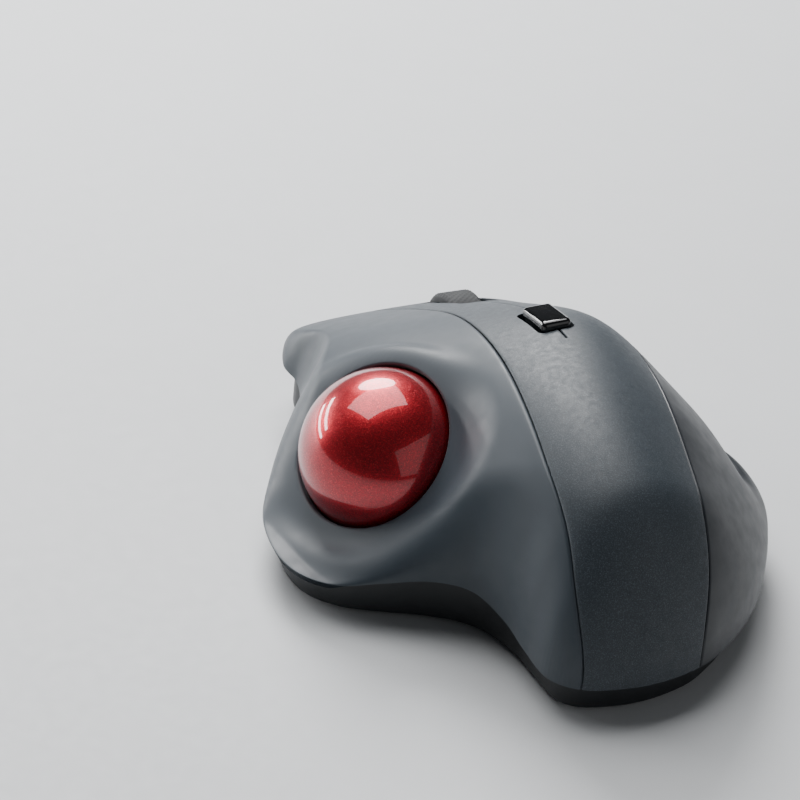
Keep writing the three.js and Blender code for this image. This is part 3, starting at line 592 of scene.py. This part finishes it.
@dataclass(frozen=True)
class Turned(Finish):
    """Aluminium turned on a lathe about the wheel's axle: fine rings that spread the light."""

    centre: tuple = (0.0, 0.0, 0.0)  # a point on the axle, in metres
    groove: float = 0.35  # mm between rings: a real tool leaves finer ones, which wouldn't show

    def dress(self, tree: bpy.types.NodeTree, shader: bpy.types.Node, place: bpy.types.NodeSocket) -> None:
        """Adds the rings as relief, and uneven polish."""
        moved = add_node(tree, "ShaderNodeMapping", {"vector_type": "POINT"}, {
            "Vector": place, "Location": tuple(-c for c in self.centre)})
        rings = add_node(tree, "ShaderNodeTexWave", {
            "wave_type": "RINGS", "rings_direction": "X", "wave_profile": "SIN"}, {
            "Vector": moved.outputs["Vector"], "Scale": per_metre(self.groove) / (2 * math.pi) * 0.314,
            "Distortion": 0.0, "Detail": 0.0})
        tree.links.new(self.uneven(tree, place, 2.0, 0.05), shader.inputs["Roughness"])
        bump = add_node(tree, "ShaderNodeBump", inputs={
            "Strength": 1.0, "Distance": self.relief * MM, "Height": rings.outputs["Fac"]})
        tree.links.new(bump.outputs["Normal"], shader.inputs["Normal"])


@dataclass(frozen=True)
class ClearMoulding(Finish):
    """Optical acrylic: clear, colourless and polished in the mould."""

    def dress(self, tree: bpy.types.NodeTree, shader: bpy.types.Node, place: bpy.types.NodeSocket) -> None:
        """Makes the shader let light through, with a faint unevenness of its polish."""
        shader.inputs["Transmission Weight"].default_value = 0.9
        tree.links.new(self.uneven(tree, place, 4.0, 0.01), shader.inputs["Roughness"])


# Soft-touch lacquer over ABS: a silky matt skin that spreads light widely, with hardly any grain.
SOFT_TOUCH = Finish("soft_touch_slate_lacquer", "#2d363e", "soft_touch_slate", roughness=0.5,
                    drift=0.035, grain=0.3, relief=0.004, sheen=0.12)
# The same lacquer, nearly black, on the outer side.
SOFT_TOUCH_DARK = Finish("soft_touch_dark_lacquer", "#0d141c", "soft_touch_dark", roughness=0.42,
                         drift=0.05, grain=0.3, relief=0.004, sheen=0.02)
GRAINED = SparkGrained("spark_grained_slate_abs", "#252d34", "grained_slate", roughness=0.55,
                       drift=0.05, relief=0.03, sheen=0.05)
RED_BALL = CandyFlake("candy_red_polyester", "#b50c20", "red_metallic", roughness=0.3, metallic=0.75,
                      ior=1.56, relief=0.03, coat=1.0, coat_roughness=0.015)
# Black ABS as moulded: satin, with a fine all-over texture.
BLACK_ABS = Finish("moulded_black_abs", "#0f1317", "base_plastic", roughness=0.45, grain=0.35, relief=0.012)
# Piano-black acrylic skin on the button: deep, mirror-like, with the faintest swirl.
PIANO_BLACK = Finish("piano_black_acrylic", "#060708", "gloss_black", roughness=0.08, drift=0.02,
                     grain=2.0, relief=0.0015, coat=0.6)
# Silicone rubber, moulded and dusty matt.
TYRE_RUBBER = Finish("moulded_silicone_rubber", "#15181b", "wheel_rubber", roughness=0.7, ior=1.43,
                     grain=0.25, relief=0.01, sheen=0.1)
FOOT_PAD = Finish("slick_foot_polymer", "#2a2d30", "foot_rubber", roughness=0.38, ior=1.38,
                  grain=0.6, relief=0.008)
STEEL = Finish("zinc_plated_steel", "#b4b5b2", "steel", roughness=0.3, metallic=1.0, drift=0.1,
               drift_size=3.0, grain=0.2, relief=0.004)
NATURAL = Finish("natural_acetal", "#dedbd0", "natural_plastic", roughness=0.4, ior=1.48, sheen=0.05)
CERAMIC = Finish("sintered_zirconia", "#ebe8df", "ceramic_white", roughness=0.12, ior=2.1, drift=0.02)
BOARD = Finish("green_solder_mask", "#12452c", "circuit_board", roughness=0.35, drift=0.15,
               drift_size=2.5, grain=0.8, relief=0.02, coat=0.3)
CHIP = Finish("moulded_epoxy", "#161617", "chip_black", roughness=0.55, grain=0.2, relief=0.008)
WRAP = Finish("shrink_film_over_steel", "#32414f", "cell_wrap", roughness=0.22, metallic=0.3, drift=0.05)
LENS = ClearMoulding("clear_acrylic", "#f2f6f8", "clear_lens", roughness=0.05, ior=1.49)


# ------------------------------------------------------------------ the bench


@dataclass
class Bench:
    """Where pieces are cut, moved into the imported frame, dressed and handed over."""

    place: Matrix
    made: dict = field(default_factory=dict)

    def material(self, finish: Finish) -> bpy.types.Material:
        """Returns a finish's material, made once."""
        if finish.name not in self.made:
            self.made[finish.name] = finish.make()
        return self.made[finish.name]

    @staticmethod
    def shaped(bm: bmesh.types.BMesh, wall: float = 0.0,
               cutters: Iterable[bmesh.types.BMesh] = ()) -> bmesh.types.BMesh:
        """Gives a face its wall and takes cutters out of it.

        Args:
            bm: The piece, in millimetres.
            wall: The wall's thickness inwards, or 0 for a piece that is solid already.
            cutters: Closed meshes to take away.

        Returns:
            The shaped mesh, still in millimetres.
        """
        scene = bpy.context.scene.collection
        temporary = []

        def stand_up(source: bmesh.types.BMesh) -> bpy.types.Object:
            """Makes a passing object of a mesh."""
            mesh = bpy.data.meshes.new("passing")
            source.to_mesh(mesh)
            source.free()
            made = bpy.data.objects.new("passing", mesh)
            scene.objects.link(made)
            temporary.append(made)
            return made

        piece = stand_up(bm)
        if wall:
            solidify = piece.modifiers.new("wall", "SOLIDIFY")
            solidify.thickness = wall
            solidify.offset = -1
        for cutter in cutters:
            bmesh.ops.recalc_face_normals(cutter, faces=cutter.faces[:])
            boolean = piece.modifiers.new("cut", "BOOLEAN")
            boolean.operation = "DIFFERENCE"
            boolean.solver = "EXACT"
            boolean.object = stand_up(cutter)
        bpy.context.view_layer.update()
        evaluated = piece.evaluated_get(bpy.context.evaluated_depsgraph_get())
        shaped = bmesh.new()
        shaped.from_mesh(evaluated.to_mesh())
        evaluated.to_mesh_clear()
        for made in temporary:
            mesh = made.data
            bpy.data.objects.remove(made)
            bpy.data.meshes.remove(mesh)
        return shaped

    def hand_over(self, name: str, bm: bmesh.types.BMesh, finish: Finish, body: str,
                  replaces: Sequence[str] = (), sharp: float = 38.0) -> bpy.types.Object:
        """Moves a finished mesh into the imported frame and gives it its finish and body.

        Args:
            name: The piece's name.
            bm: Its mesh, in millimetres.
            finish: What it is made of.
            body: The body that it moves with.
            replaces: The CAD nodes that it stands for.
            sharp: The angle in degrees past which an edge is drawn sharp.

        Returns:
            The piece.
        """
        bm.transform(self.place)
        mesh = bpy.data.meshes.new(name)
        bm.to_mesh(mesh)
        bm.free()
        mesh.shade_smooth()
        mesh.set_sharp_from_angle(angle=math.radians(sharp))
        mesh.materials.append(self.material(finish))
        piece = bpy.data.objects.new(name, mesh)
        bpy.context.scene.collection.objects.link(piece)
        if body:
            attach(piece, body)
        if replaces:
            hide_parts(*replaces)
        log.info("%s: %d faces", name, len(mesh.polygons))
        return piece


def rounded_block(width: float, length: float, height: float, corner: float, edge: float,
                  both: bool = False) -> bmesh.types.BMesh:
    """Returns a block standing on z = 0 with round corners in plan and softened edges.

    Args:
        width: Its size along x.
        length: Its size along y.
        height: Its size along z.
        corner: The radius of its four upright corners.
        edge: The radius of the upper edge.
        both: Whether the lower edge is softened too.
    """
    bm = bmesh.new()
    bmesh.ops.create_cube(bm, size=1)
    bmesh.ops.scale(bm, vec=(width, length, height), verts=bm.verts)
    bmesh.ops.translate(bm, vec=(0, 0, height / 2), verts=bm.verts)
    upright = [e for e in bm.edges if abs(e.verts[0].co.z - e.verts[1].co.z) > height / 2]
    bmesh.ops.bevel(bm, geom=upright, offset=corner, affect="EDGES", segments=6, profile=0.5, material=-1)
    levels = (0, height) if both else (height,)
    level = [e for e in bm.edges if any(all(abs(v.co.z - z) < 1e-5 for v in e.verts) for z in levels)]
    if edge:
        bmesh.ops.bevel(bm, geom=level, offset=edge, affect="EDGES", segments=4, profile=0.5, material=-1)
    return bm


def moved(bm: bmesh.types.BMesh, x: float, y: float, z: float) -> bmesh.types.BMesh:
    """Moves a mesh and returns it."""
    bmesh.ops.translate(bm, vec=(x, y, z), verts=bm.verts)
    return bm


def spun(profile: Sequence[tuple[float, float]], steps: int, closed: bool = False) -> bmesh.types.BMesh:
    """Turns radius and height pairs into a closed piece about the upright axis.

    Args:
        profile: The pairs, from the axis round to the axis, or round a ring's section.
        steps: How many steps a full turn has.
        closed: Whether the last point joins the first, as on a ring.
    """
    bm = bmesh.new()
    verts = [bm.verts.new((r, 0, z)) for r, z in profile]
    pairs = list(zip(verts, verts[1:])) + ([(verts[-1], verts[0])] if closed else [])
    edges = [bm.edges.new(pair) for pair in pairs]
    bmesh.ops.spin(bm, geom=verts + edges, cent=(0, 0, 0), axis=(0, 0, 1), angle=2 * math.pi,
                   steps=steps, use_merge=True)
    bmesh.ops.remove_doubles(bm, verts=bm.verts, dist=1e-4)
    bmesh.ops.recalc_face_normals(bm, faces=bm.faces)
    return bm


def arc(radius: float, centre: tuple[float, float], start: float, end: float, steps: int) -> list:
    """Returns points on an arc: centre as radius and height, angles in degrees from outwards."""
    angles = [math.radians(start + (end - start) * k / steps) for k in range(steps + 1)]
    return [(centre[0] + radius * math.cos(a), centre[1] + radius * math.sin(a)) for a in angles]


# ------------------------------------------------------------------ the object's pieces


@dataclass
class Shells:
    """The outer mouldings: left shell, palm cover, right shell and the two click keys."""

    bench: Bench
    surface: BodySurface
    wall: float = 1.7
    half_gap: float = 0.15
    split_x: float = 8.65
    key_root: float = -2.5
    opening: float = 17.05
    opening_round: float = 0.7
    slot_width: float = 8.6
    slot_rear: float = 35.2
    slot_front: float = 57.6
    button: tuple = (8.5, 7.0)
    well: tuple = (7.8, 11.8, 1.4)  # width, length and corner of the button's well
    # corners of the lower edge, counted from the first
    rear_left: float = 1
    front_left: float = 16
    left_seam_front: float = 18
    right_seam_front: float = 21
    front_right: float = 22
    rear_right: float = 33
    right_seam_rear: float = 35
    left_seam_rear: float = 38

    def build(self) -> None:
        """Builds and dresses all five."""
        self.left_shell()
        self.right_shell()
        self.palm_cover()
        self.keys()

    def left_shell(self) -> None:
        """The shell with the ball's opening: soft-touch, with a rolled lip round the ball."""
        s = self.surface
        panel = Panel(
            s.along_edge(self.rear_left, self.front_left),
            s.along_seam(s.left_seam, 0, 1, -self.half_gap),
            reversed_line(s.along_edge(0, self.rear_left)),
            s.along_edge(self.front_left, self.left_seam_front),
            (Side.LOWER_EDGE, Side.SEAM, Side.LOWER_EDGE, Side.LOWER_EDGE),
            columns=90, rows=190, lip=0.7)
        bm = self.bench.shaped(panel.build(s), self.wall, [self.opening_cutter()])
        self.bench.hand_over("left_shell_moulding", bm, SOFT_TOUCH, "body", ["left_shell"])

    def opening_cutter(self) -> bmesh.types.BMesh:
        """Returns the tool that cuts the ball's opening and rounds its edge."""
        r, lip, lift = self.opening, self.opening_round, self.surface.opening_lift
        outline = [(0, lift + 30), (r + lip, lift + 30), (r + lip, lift)]
        outline += arc(lip, (r + lip, lift - lip), 90, 180, 6)
        outline += [(r, lift - 9), (0, lift - 9)]
        bm = spun(outline, 128)
        turn = Vector((0, 0, 1)).rotation_difference(Vector(self.surface.axis()))
        bm.transform(Matrix.Translation(self.surface.ball) @ turn.to_matrix().to_4x4())
        return bm

    def right_shell(self) -> None:
        """The outer shell under the ring and little fingers."""
        s = self.surface
        panel = Panel(
            s.along_seam(s.right_seam, 0, 1, self.half_gap),
            reversed_line(s.along_edge(self.front_right, self.rear_right)),
            reversed_line(s.along_edge(self.rear_right, self.right_seam_rear)),
            s.along_edge(self.right_seam_front, self.front_right),
            (Side.SEAM, Side.LOWER_EDGE, Side.LOWER_EDGE, Side.LOWER_EDGE),
            columns=70, rows=170)
        bm = self.bench.shaped(panel.build(s), self.wall)
        self.bench.hand_over("right_shell_moulding", bm, SOFT_TOUCH_DARK, "body", ["right_shell"])

    def palm_cover(self) -> None:
        """The grained cover under the palm, up to the keys' roots."""
        s = self.surface
        left_end = s.seam_share(s.left_seam, self.key_root)
        right_end = s.seam_share(s.right_seam, self.key_root)
        left = s.along_seam(s.left_seam, 0, left_end, self.half_gap)
        right = s.along_seam(s.right_seam, 0, right_end, -self.half_gap)
        panel = Panel(
            left, right, reversed_line(s.along_edge(self.right_seam_rear, self.left_seam_rear)),
            straight_line(left(np.array(1.0)), right(np.array(1.0))),
            (Side.SEAM, Side.SEAM, Side.LOWER_EDGE, Side.BUTT), columns=60, rows=120)
        bm = self.bench.shaped(panel.build(s), self.wall)
        self.bench.hand_over("palm_cover_moulding", bm, GRAINED, "body", ["palm_cover"])

    def keys(self) -> None:
        """The two click keys: they grow out of the palm cover at their roots."""
        s = self.surface
        left_start = s.seam_share(s.left_seam, self.key_root)
        right_start = s.seam_share(s.right_seam, self.key_root)
        corner = self.left_seam_front + 1 + (self.split_x - 8) / 12  # where the split meets the front edge
        seam = s.along_seam(s.left_seam, left_start, 1, self.half_gap)
        inner = self.split_x - self.half_gap
        front = s.along_edge(self.left_seam_front, corner)
        left_key = Panel(
            seam, straight_line((inner, self.key_root), front(np.array(1.0))),
            straight_line(seam(np.array(0.0)), (inner, self.key_root)), front,
            (Side.SEAM, Side.SEAM, Side.BUTT, Side.LOWER_EDGE), columns=40, rows=120, lip=0.3)
        seam = s.along_seam(s.right_seam, right_start, 1, -self.half_gap)
        inner = self.split_x + self.half_gap
        front = s.along_edge(corner, self.right_seam_front)
        right_key = Panel(
            straight_line((inner, self.key_root), front(np.array(0.0))), seam,
            straight_line((inner, self.key_root), seam(np.array(0.0))), front,
            (Side.SEAM, Side.SEAM, Side.BUTT, Side.LOWER_EDGE), columns=40, rows=120, lip=0.3)
        for side, panel in (("left", left_key), ("right", right_key)):
            bm = self.bench.shaped(panel.build(s), self.wall, self.key_cutters())
            key = self.bench.hand_over(f"{side}_click_key_moulding", bm, GRAINED, "", [f"{side}_click_key"])
            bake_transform(key)

    def key_cutters(self) -> list[bmesh.types.BMesh]:
        """Returns the tools that cut the wheel's slot and the button's well."""
        length = self.slot_front - self.slot_rear
        slot = rounded_block(self.slot_width, length, 60, 2.2, 0)
        width, depth, corner = self.well
        well = rounded_block(width, depth, 40, corner, 0)
        return [moved(slot, self.split_x, self.slot_rear + length / 2, 5), moved(well, *self.button, 20)]


@dataclass
class Ball:
    """The 34 mm ball, polished over metallic flake."""

    bench: Bench
    centre: tuple
    radius: float = 17.0

    def build(self) -> None:
        """Builds and dresses the ball."""
        bm = bmesh.new()
        bmesh.ops.create_uvsphere(bm, u_segments=112, v_segments=72, radius=self.radius)
        moved(bm, *self.centre)
        self.bench.hand_over("trackball_polished", bm, RED_BALL, "ball", ["trackball"])


@dataclass
class ScrollWheel:
    """The scroll wheel: a turned aluminium hub in a knurled rubber tyre."""

    bench: Bench
    finish: Turned
    centre: tuple = (8.65, 44, 17.4)
    radius: float = 11.5
    width: float = 7.2
    hub: float = 9.5
    bore: float = 1.7
    ridges: int = 56
    ridge_rows: int = 4
    ridge_height: float = 0.35
    tread_margin: float = 0.7  # smooth band at each side of the tread

    def stand(self, bm: bmesh.types.BMesh) -> bmesh.types.BMesh:
        """Lays an upright turned piece on the wheel's axle."""
        bm.transform(Matrix.Translation(self.centre) @ Matrix.Rotation(math.pi / 2, 4, "Y"))
        return bm

    def build(self) -> None:
        """Builds and dresses the hub and the tyre."""
        half = self.width / 2
        self.hub_ring(half)
        self.tyre(half)

    def hub_ring(self, half: float) -> None:
        """The hub: dished sides with a bright, chamfered rim."""
        side = [
            (self.bore, half - 0.2), (2.0, half), (3.2, half), (3.5, half - 0.5), (4.1, half - 0.8),
            (7.6, half - 0.8), (8.1, half - 0.5), (8.4, half + 0.02), (9.2, half + 0.02),
            (self.hub, half - 0.3),
        ]
        profile = [(r, -z) for r, z in reversed(side)] + side
        self.bench.hand_over("wheel_hub_turned", self.stand(spun(profile, 96, closed=True)), self.finish,
                             "wheel", ["wheel_hub"], sharp=30)

    def tyre(self, half: float) -> None:
        """The tyre: crossed ridges cut all round the tread."""
        inner = self.hub + 0.02
        outer = self.radius - self.ridge_height
        columns = 4 * self.ridge_rows + 1
        tread_width = self.width - 2 * self.tread_margin
        tread = [(outer, tread_width * (k / (columns - 1) - 0.5)) for k in range(columns)]
        profile = [(inner, -half), (outer - 0.5, -half), (outer - 0.15, -half + 0.2), *tread,
                   (outer - 0.15, half - 0.2), (outer - 0.5, half), (inner, half)]
        bm = spun(profile, 4 * self.ridges, closed=True)
        for vertex in bm.verts:
            x, y, z = vertex.co
            radius = math.hypot(x, y)
            if radius < outer - 0.05 or abs(z) > half - 0.6:
                continue
            turn = math.atan2(y, x) * self.ridges / 2
            slant = math.pi * z * self.ridge_rows / tread_width
            lift = abs(math.cos(turn + slant)) * abs(math.cos(turn - slant))
            scale = (outer + self.ridge_height * lift) / radius
            vertex.co.x *= scale
            vertex.co.y *= scale
        self.bench.hand_over("wheel_tyre_knurled", self.stand(bm), TYRE_RUBBER, "wheel", ["wheel_tyre"],
                             sharp=60)


@dataclass
class FunctionButton:
    """The gloss-black button on the ridge behind the wheel."""

    bench: Bench
    surface: BodySurface
    centre: tuple = (8.5, 7.0)
    width: float = 6.4
    length: float = 10.4
    proud: float = 1.5
    tilt: tuple = (-0.23, -0.04)  # radians about x, then y

    def build(self) -> None:
        """Builds and dresses the button's cap, with a wide chamfer all round its top."""
        top = float(self.surface.height(np.array([self.centre], float))[0]) + self.proud
        bm = rounded_block(self.width, self.length, 3.2, 1.1, 0)
        level = [e for e in bm.edges if all(v.co.z > 3.1 for v in e.verts)]
        bmesh.ops.bevel(bm, geom=level, offset=0.95, affect="EDGES", segments=5, profile=0.5, material=-1)
        moved(bm, 0, 0, -3.2)
        tilt = Matrix.Rotation(self.tilt[0], 4, "X") @ Matrix.Rotation(self.tilt[1], 4, "Y")
        bm.transform(Matrix.Translation((*self.centre, top)) @ tilt)
        self.bench.hand_over("function_button_cap", bm, PIANO_BLACK, "function_button", ["dpi_button"],
                             sharp=50)


@dataclass
class Base:
    """The black base: its floor and wall, and what is set into its underside."""

    bench: Bench
    surface: BodySurface
    inset: float = 3.0
    wall: float = 2.0
    bottom: float = 1.0
    floor_top: float = 3.2
    top: float = 17.0
    under_shell: float = 3.4
    key_stop: float = 14.6  # top of the front wall, below the pressed keys
    under_keys: tuple = (11.0, 19.0, 50.0)  # the keys' middle, half their width, and where their front starts
    edge_round: float = 0.8
    screws: tuple = ((-17, 44), (32, 38), (38, -24), (-1, -51.5))
    feet: tuple = ((-16, 53, 12, 4), (22, 53, 12, 4), (-40, -3, 4, 13), (43, -8, 4, 13), (9, -52, 10, 4))
    push_hole: float = 6.0
    door: tuple = (10, -23.5, 12.6, 50)
    receiver: tuple = (33, 6, 13, 5.2)
    slider: tuple = (30, -16, 4, 7.6)
    pairing: tuple = (30, -30, 2.35)
    gap: float = 0.3

    def outline(self, inset: float) -> np.ndarray:
        """Returns the lower edge moved inwards, as rows of x and y."""
        loop = self.surface.loop()[::2, :2]
        along = np.roll(loop, -1, axis=0) - np.roll(loop, 1, axis=0)
        along /= np.linalg.norm(along, axis=1, keepdims=True)
        return loop + inset * np.column_stack([along[:, 1], -along[:, 0]])

    def tray(self) -> bmesh.types.BMesh:
        """Returns the floor and its wall as one closed solid, before its holes are cut."""
        outer, inner = self.outline(self.inset), self.outline(self.inset + self.wall)
        count = len(outer)
        top = np.minimum(self.top, self.surface.height(outer) - self.under_shell)
        middle, half_width, rear = self.under_keys
        under_keys = (outer[:, 1] > rear) & (np.abs(outer[:, 0] - middle) < half_width)
        top[under_keys] = np.minimum(top[under_keys], self.key_stop)
        levels = [(outer, np.full(count, self.bottom)), (outer, top), (inner, top),
                  (inner, np.full(count, self.floor_top))]
        bm = bmesh.new()
        ring = bmesh.ops.create_circle(bm, cap_ends=True, segments=count, radius=1)["verts"]
        edges = list(bm.edges)
        lower = edges
        for level, (plan, heights) in enumerate(levels):
            if level:
                lifted = bmesh.ops.extrude_edge_only(bm, edges=edges)["geom"]
                edges = [e for e in lifted if isinstance(e, bmesh.types.BMEdge)]
                fresh = {v for v in lifted if isinstance(v, bmesh.types.BMVert)}
                ring = [next(e.other_vert(v) for e in v.link_edges if e.other_vert(v) in fresh) for v in ring]
                edges = [e for e in edges if all(v in fresh for v in e.verts)]
            for vertex, (x, y), height in zip(ring, plan, heights):
                vertex.co = (x, y, height)
        bmesh.ops.edgeloop_fill(bm, edges=edges)
        bmesh.ops.recalc_face_normals(bm, faces=bm.faces)
        bmesh.ops.bevel(bm, geom=lower, offset=self.edge_round, affect="EDGES", segments=4, profile=0.5,
                        material=-1)
        return bm

    def holes(self) -> list[bmesh.types.BMesh]:
        """Returns the tools that cut every hole of the underside."""
        tools = []
        for x, y in self.screws:
            tools.append(moved(spun([(0, 0), (3.1, 0), (2.8, 1.4), (2.8, 3), (1.4, 3), (1.4, 9), (0, 9)], 40),
                               x, y, 0))
        x, y, _ = self.surface.ball
        push_hole = spun([(0, 0), (7, 0), (self.push_hole, 1.9), (self.push_hole, 5), (0, 5)], 64)
        tools.append(moved(push_hole, x, y, 0))
        x, y, width, length = self.door
        tools.append(moved(rounded_block(width, length, 5, 1.5, 0), x, y, 0))
        x, y, width, length = self.receiver
        tools.append(moved(rounded_block(width, length, 5, 0.8, 0), x, y, 0))
        x, y, width, length = self.slider
        tools.append(moved(rounded_block(width, length, 5, 0.6, 0), x, y, 0))
        x, y, radius = self.pairing
        tools.append(moved(spun([(0, 0), (radius, 0), (radius, 5), (0, 5)], 48), x, y, 0))
        for x, y, width, length in self.feet:
            seat = rounded_block(width + 0.5, length + 0.5, 0.5, 2.1, 0)
            tools.append(moved(seat, x, y, self.bottom - 0.2))
        return tools

    def build(self) -> None:
        """Builds and dresses the base and what is set into it."""
        bm = self.bench.shaped(self.tray(), 0, self.holes())
        self.bench.hand_over("base_moulding", bm, BLACK_ABS, "body", ["base_case"], sharp=32)
        self.feet_pads()
        self.screw_heads()
        self.underside_controls()

    def feet_pads(self) -> None:
        """The five pads that the object slides on."""
        for k, (x, y, width, length) in enumerate(self.feet, 1):
            pad = rounded_block(width, length, 1.05, 1.9, 0)
            lower = [e for e in pad.edges if all(abs(v.co.z) < 1e-5 for v in e.verts)]
            bmesh.ops.bevel(pad, geom=lower, offset=0.25, affect="EDGES", segments=3, profile=0.5,
                            material=-1)
            self.bench.hand_over(f"foot_pad_{k}_moulding", moved(pad, x, y, 0), FOOT_PAD, "body",
                                 [f"foot_pad_{k}"])

    def screw_heads(self) -> None:
        """The case screws: domed heads with a crossed recess."""
        head = [(0, 1.2), (1.5, 1.25), (2.1, 1.5), (2.4, 1.9), (2.4, 2.5)]
        shank = [(1.1, 2.8), (1.1, 9), (0, 9.8)]
        recess = ((2.6, 0.5), (0.5, 2.6))
        for k, (x, y) in enumerate(self.screws, 1):
            blades = [moved(rounded_block(w, d, 1.2, 0.08, 0), 0, 0, 0.9) for w, d in recess]
            bm = self.bench.shaped(spun(head + shank, 40), 0, blades)
            self.bench.hand_over(f"case_screw_{k}_plated", moved(bm, x, y, 0), STEEL, "body",
                                 [f"case_screw_{k}"])

    def underside_controls(self) -> None:
        """The battery door, receiver, power slider and pairing button."""
        x, y, width, length = self.door
        door = rounded_block(width - 2 * self.gap, length - 2 * self.gap, 1.9, 1.2, 0)
        ribs = [moved(rounded_block(7, 0.7, 1, 0.3, 0), 0, 19 - 1.5 * k, -0.6) for k in range(4)]
        door = moved(self.bench.shaped(door, 0, ribs), x, y, 1.1)
        self.bench.hand_over("battery_door_moulding", door, BLACK_ABS, "door", ["battery_door"])
        x, y, _, _ = self.receiver
        stick = moved(rounded_block(12.4, 4.6, 16.7, 0.9, 0.25, both=True), x, y, 1.3)
        self.bench.hand_over("usb_receiver_body", stick, PIANO_BLACK, "receiver", ["usb_receiver"])
        x, y, _, _ = self.slider
        knob = moved(rounded_block(3.4, 3.8, 2.5, 0.4, 0.2, both=True), x, y + 1.6, 1.3)
        grooves = [moved(rounded_block(2.4, 0.35, 0.7, 0.1, 0), x, y + 1.6 + d, 0.9) for d in (-0.9, 0, 0.9)]
        knob = self.bench.shaped(knob, 0, grooves)
        self.bench.hand_over("power_slider_knob", knob, NATURAL, "power_knob", ["power_slider"])
        x, y, _ = self.pairing
        cap = spun([(0, 0.15), (1.2, 0.1), (1.6, 0), (1.9, 0.1), (2, 0.35), (2, 3.2), (0, 3.2)], 48)
        self.bench.hand_over("pairing_button_cap", moved(cap, x, y, 1.3), BLACK_ABS, "pair_button",
                             ["pairing_button"])


def dress_inner_parts(bench: Bench, frame: dict) -> None:
    """Gives every CAD node that stays its material."""
    finishes = {
        "ball_socket": BLACK_ABS, "wheel_carrier": BLACK_ABS, "sensor_lens": LENS, "battery_cell": WRAP,
        "wheel_axle": STEEL, "battery_spring": STEEL, "battery_contact": STEEL, "power_switch": STEEL,
        "pairing_switch": STEEL, "sensor_board": BOARD, "main_board": BOARD, "dpi_board": BOARD,
        "sensor_chip": CHIP, "radio_chip": CHIP, "wheel_encoder": CHIP, "left_click_switch": CHIP,
        "right_click_switch": CHIP, "wheel_click_switch": CHIP, "dpi_switch": CHIP,
        "ball_bearing_1": CERAMIC, "ball_bearing_2": CERAMIC, "ball_bearing_3": CERAMIC,
    }
    for name, node in frame["nodes"].items():
        finish = finishes.get(name, BLACK_ABS)
        node.data.materials.clear()
        node.data.materials.append(bench.material(finish))


# ------------------------------------------------------------------ the stage


@dataclass
class Studio:
    """A pale floor, soft light and the camera."""

    place: Matrix
    eye: tuple = (-237.26, -450.38, 372.54)
    right: tuple = (0.9244, -0.3710, 0.0883)
    up: tuple = (0.1405, 0.5467, 0.8253)
    lens: float = 139.5

    def build(self) -> None:
        """Builds all of it."""
        self.floor()
        self.light("key_softbox", (90, 620, 500), 420, 330, 9, "ELLIPSE")
        self.light("top_softbox", (-60, 400, 900), 1000, 700, 12)
        self.light("strip_lamp_1", (-440, 560, 190), 480, 50, 2.2)
        self.light("strip_lamp_2", (-460, 560, 70), 480, 40, 1.8)
        self.light("rear_softbox", (328, -659, 330), 900, 560, 0.9)
        self.world()
        self.camera()

    def floor(self) -> None:
        """A wide, plain floor just under the feet."""
        bm = bmesh.new()
        bmesh.ops.create_grid(bm, x_segments=1, y_segments=1, size=4)
        mesh = bpy.data.meshes.new("floor")
        bm.to_mesh(mesh)
        bm.free()
        paint = Finish("pale_floor_paint", "#c9cbcd", "", roughness=0.6, drift=0.01, relief=0.0)
        mesh.materials.append(paint.make())
        floor = bpy.data.objects.new("floor", mesh)
        floor.location.z = -0.0002
        bpy.context.scene.collection.objects.link(floor)

    def light(self, name: str, where: Sequence[float], width: float, height: float, power: float,
              shape: str = "RECTANGLE") -> None:
        """Adds a soft lamp that looks at the object's middle. Sizes and places are in millimetres."""
        data = bpy.data.lights.new(name, "AREA")
        data.shape = shape
        data.size, data.size_y = width * MM, height * MM
        data.energy = power
        lamp = bpy.data.objects.new(name, data)
        lamp.location = Vector(where) * MM
        aim = Vector((0, 0, 20)) * MM - lamp.location
        lamp.rotation_euler = aim.to_track_quat("-Z", "Y").to_euler()
        bpy.context.scene.collection.objects.link(lamp)

    def world(self) -> None:
        """An even, dim surround."""
        world = bpy.data.worlds.new("studio")
        world.use_nodes = True
        world.node_tree.nodes["Background"].inputs["Color"].default_value = linear("#c8ccd2")
        world.node_tree.nodes["Background"].inputs["Strength"].default_value = 0.12
        bpy.context.scene.world = world

    def camera(self) -> None:
        """The camera, above and to the left, rolled a little."""
        data = bpy.data.cameras.new("camera")
        data.lens = self.lens
        camera = bpy.data.objects.new("camera", data)
        right, up = Vector(self.right), Vector(self.up)
        turn = Matrix((right, up, right.cross(up))).transposed().to_4x4()
        camera.matrix_world = Matrix.Translation(self.place @ Vector(self.eye)) @ turn
        bpy.context.scene.collection.objects.link(camera)
        bpy.context.scene.camera = camera


def design_to_frame(surface: BodySurface) -> Matrix:
    """Returns the move from millimetres in the design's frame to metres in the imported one."""
    low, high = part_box("trackball")
    return Matrix.Translation((low + high) / 2 - Vector(surface.ball) * MM) @ Matrix.Scale(MM, 4)


def main() -> None:
    """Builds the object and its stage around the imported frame."""
    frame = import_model()
    surface = BodySurface()
    place = design_to_frame(surface)
    bench = Bench(place)
    wheel_centre = sum(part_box("wheel_tyre"), Vector()) / 2
    turned = Turned("turned_aluminium", "#c9cbcc", "wheel_metal", roughness=0.24, metallic=1.0,
                    relief=0.01, centre=tuple(wheel_centre))
    dress_inner_parts(bench, frame)
    Shells(bench, surface).build()
    Ball(bench, surface.ball).build()
    ScrollWheel(bench, turned).build()
    FunctionButton(bench, surface).build()
    Base(bench, surface).build()
    Studio(place).build()


if __name__ == "__main__":
    logging.basicConfig(level=logging.INFO, format="%(message)s")
    main()
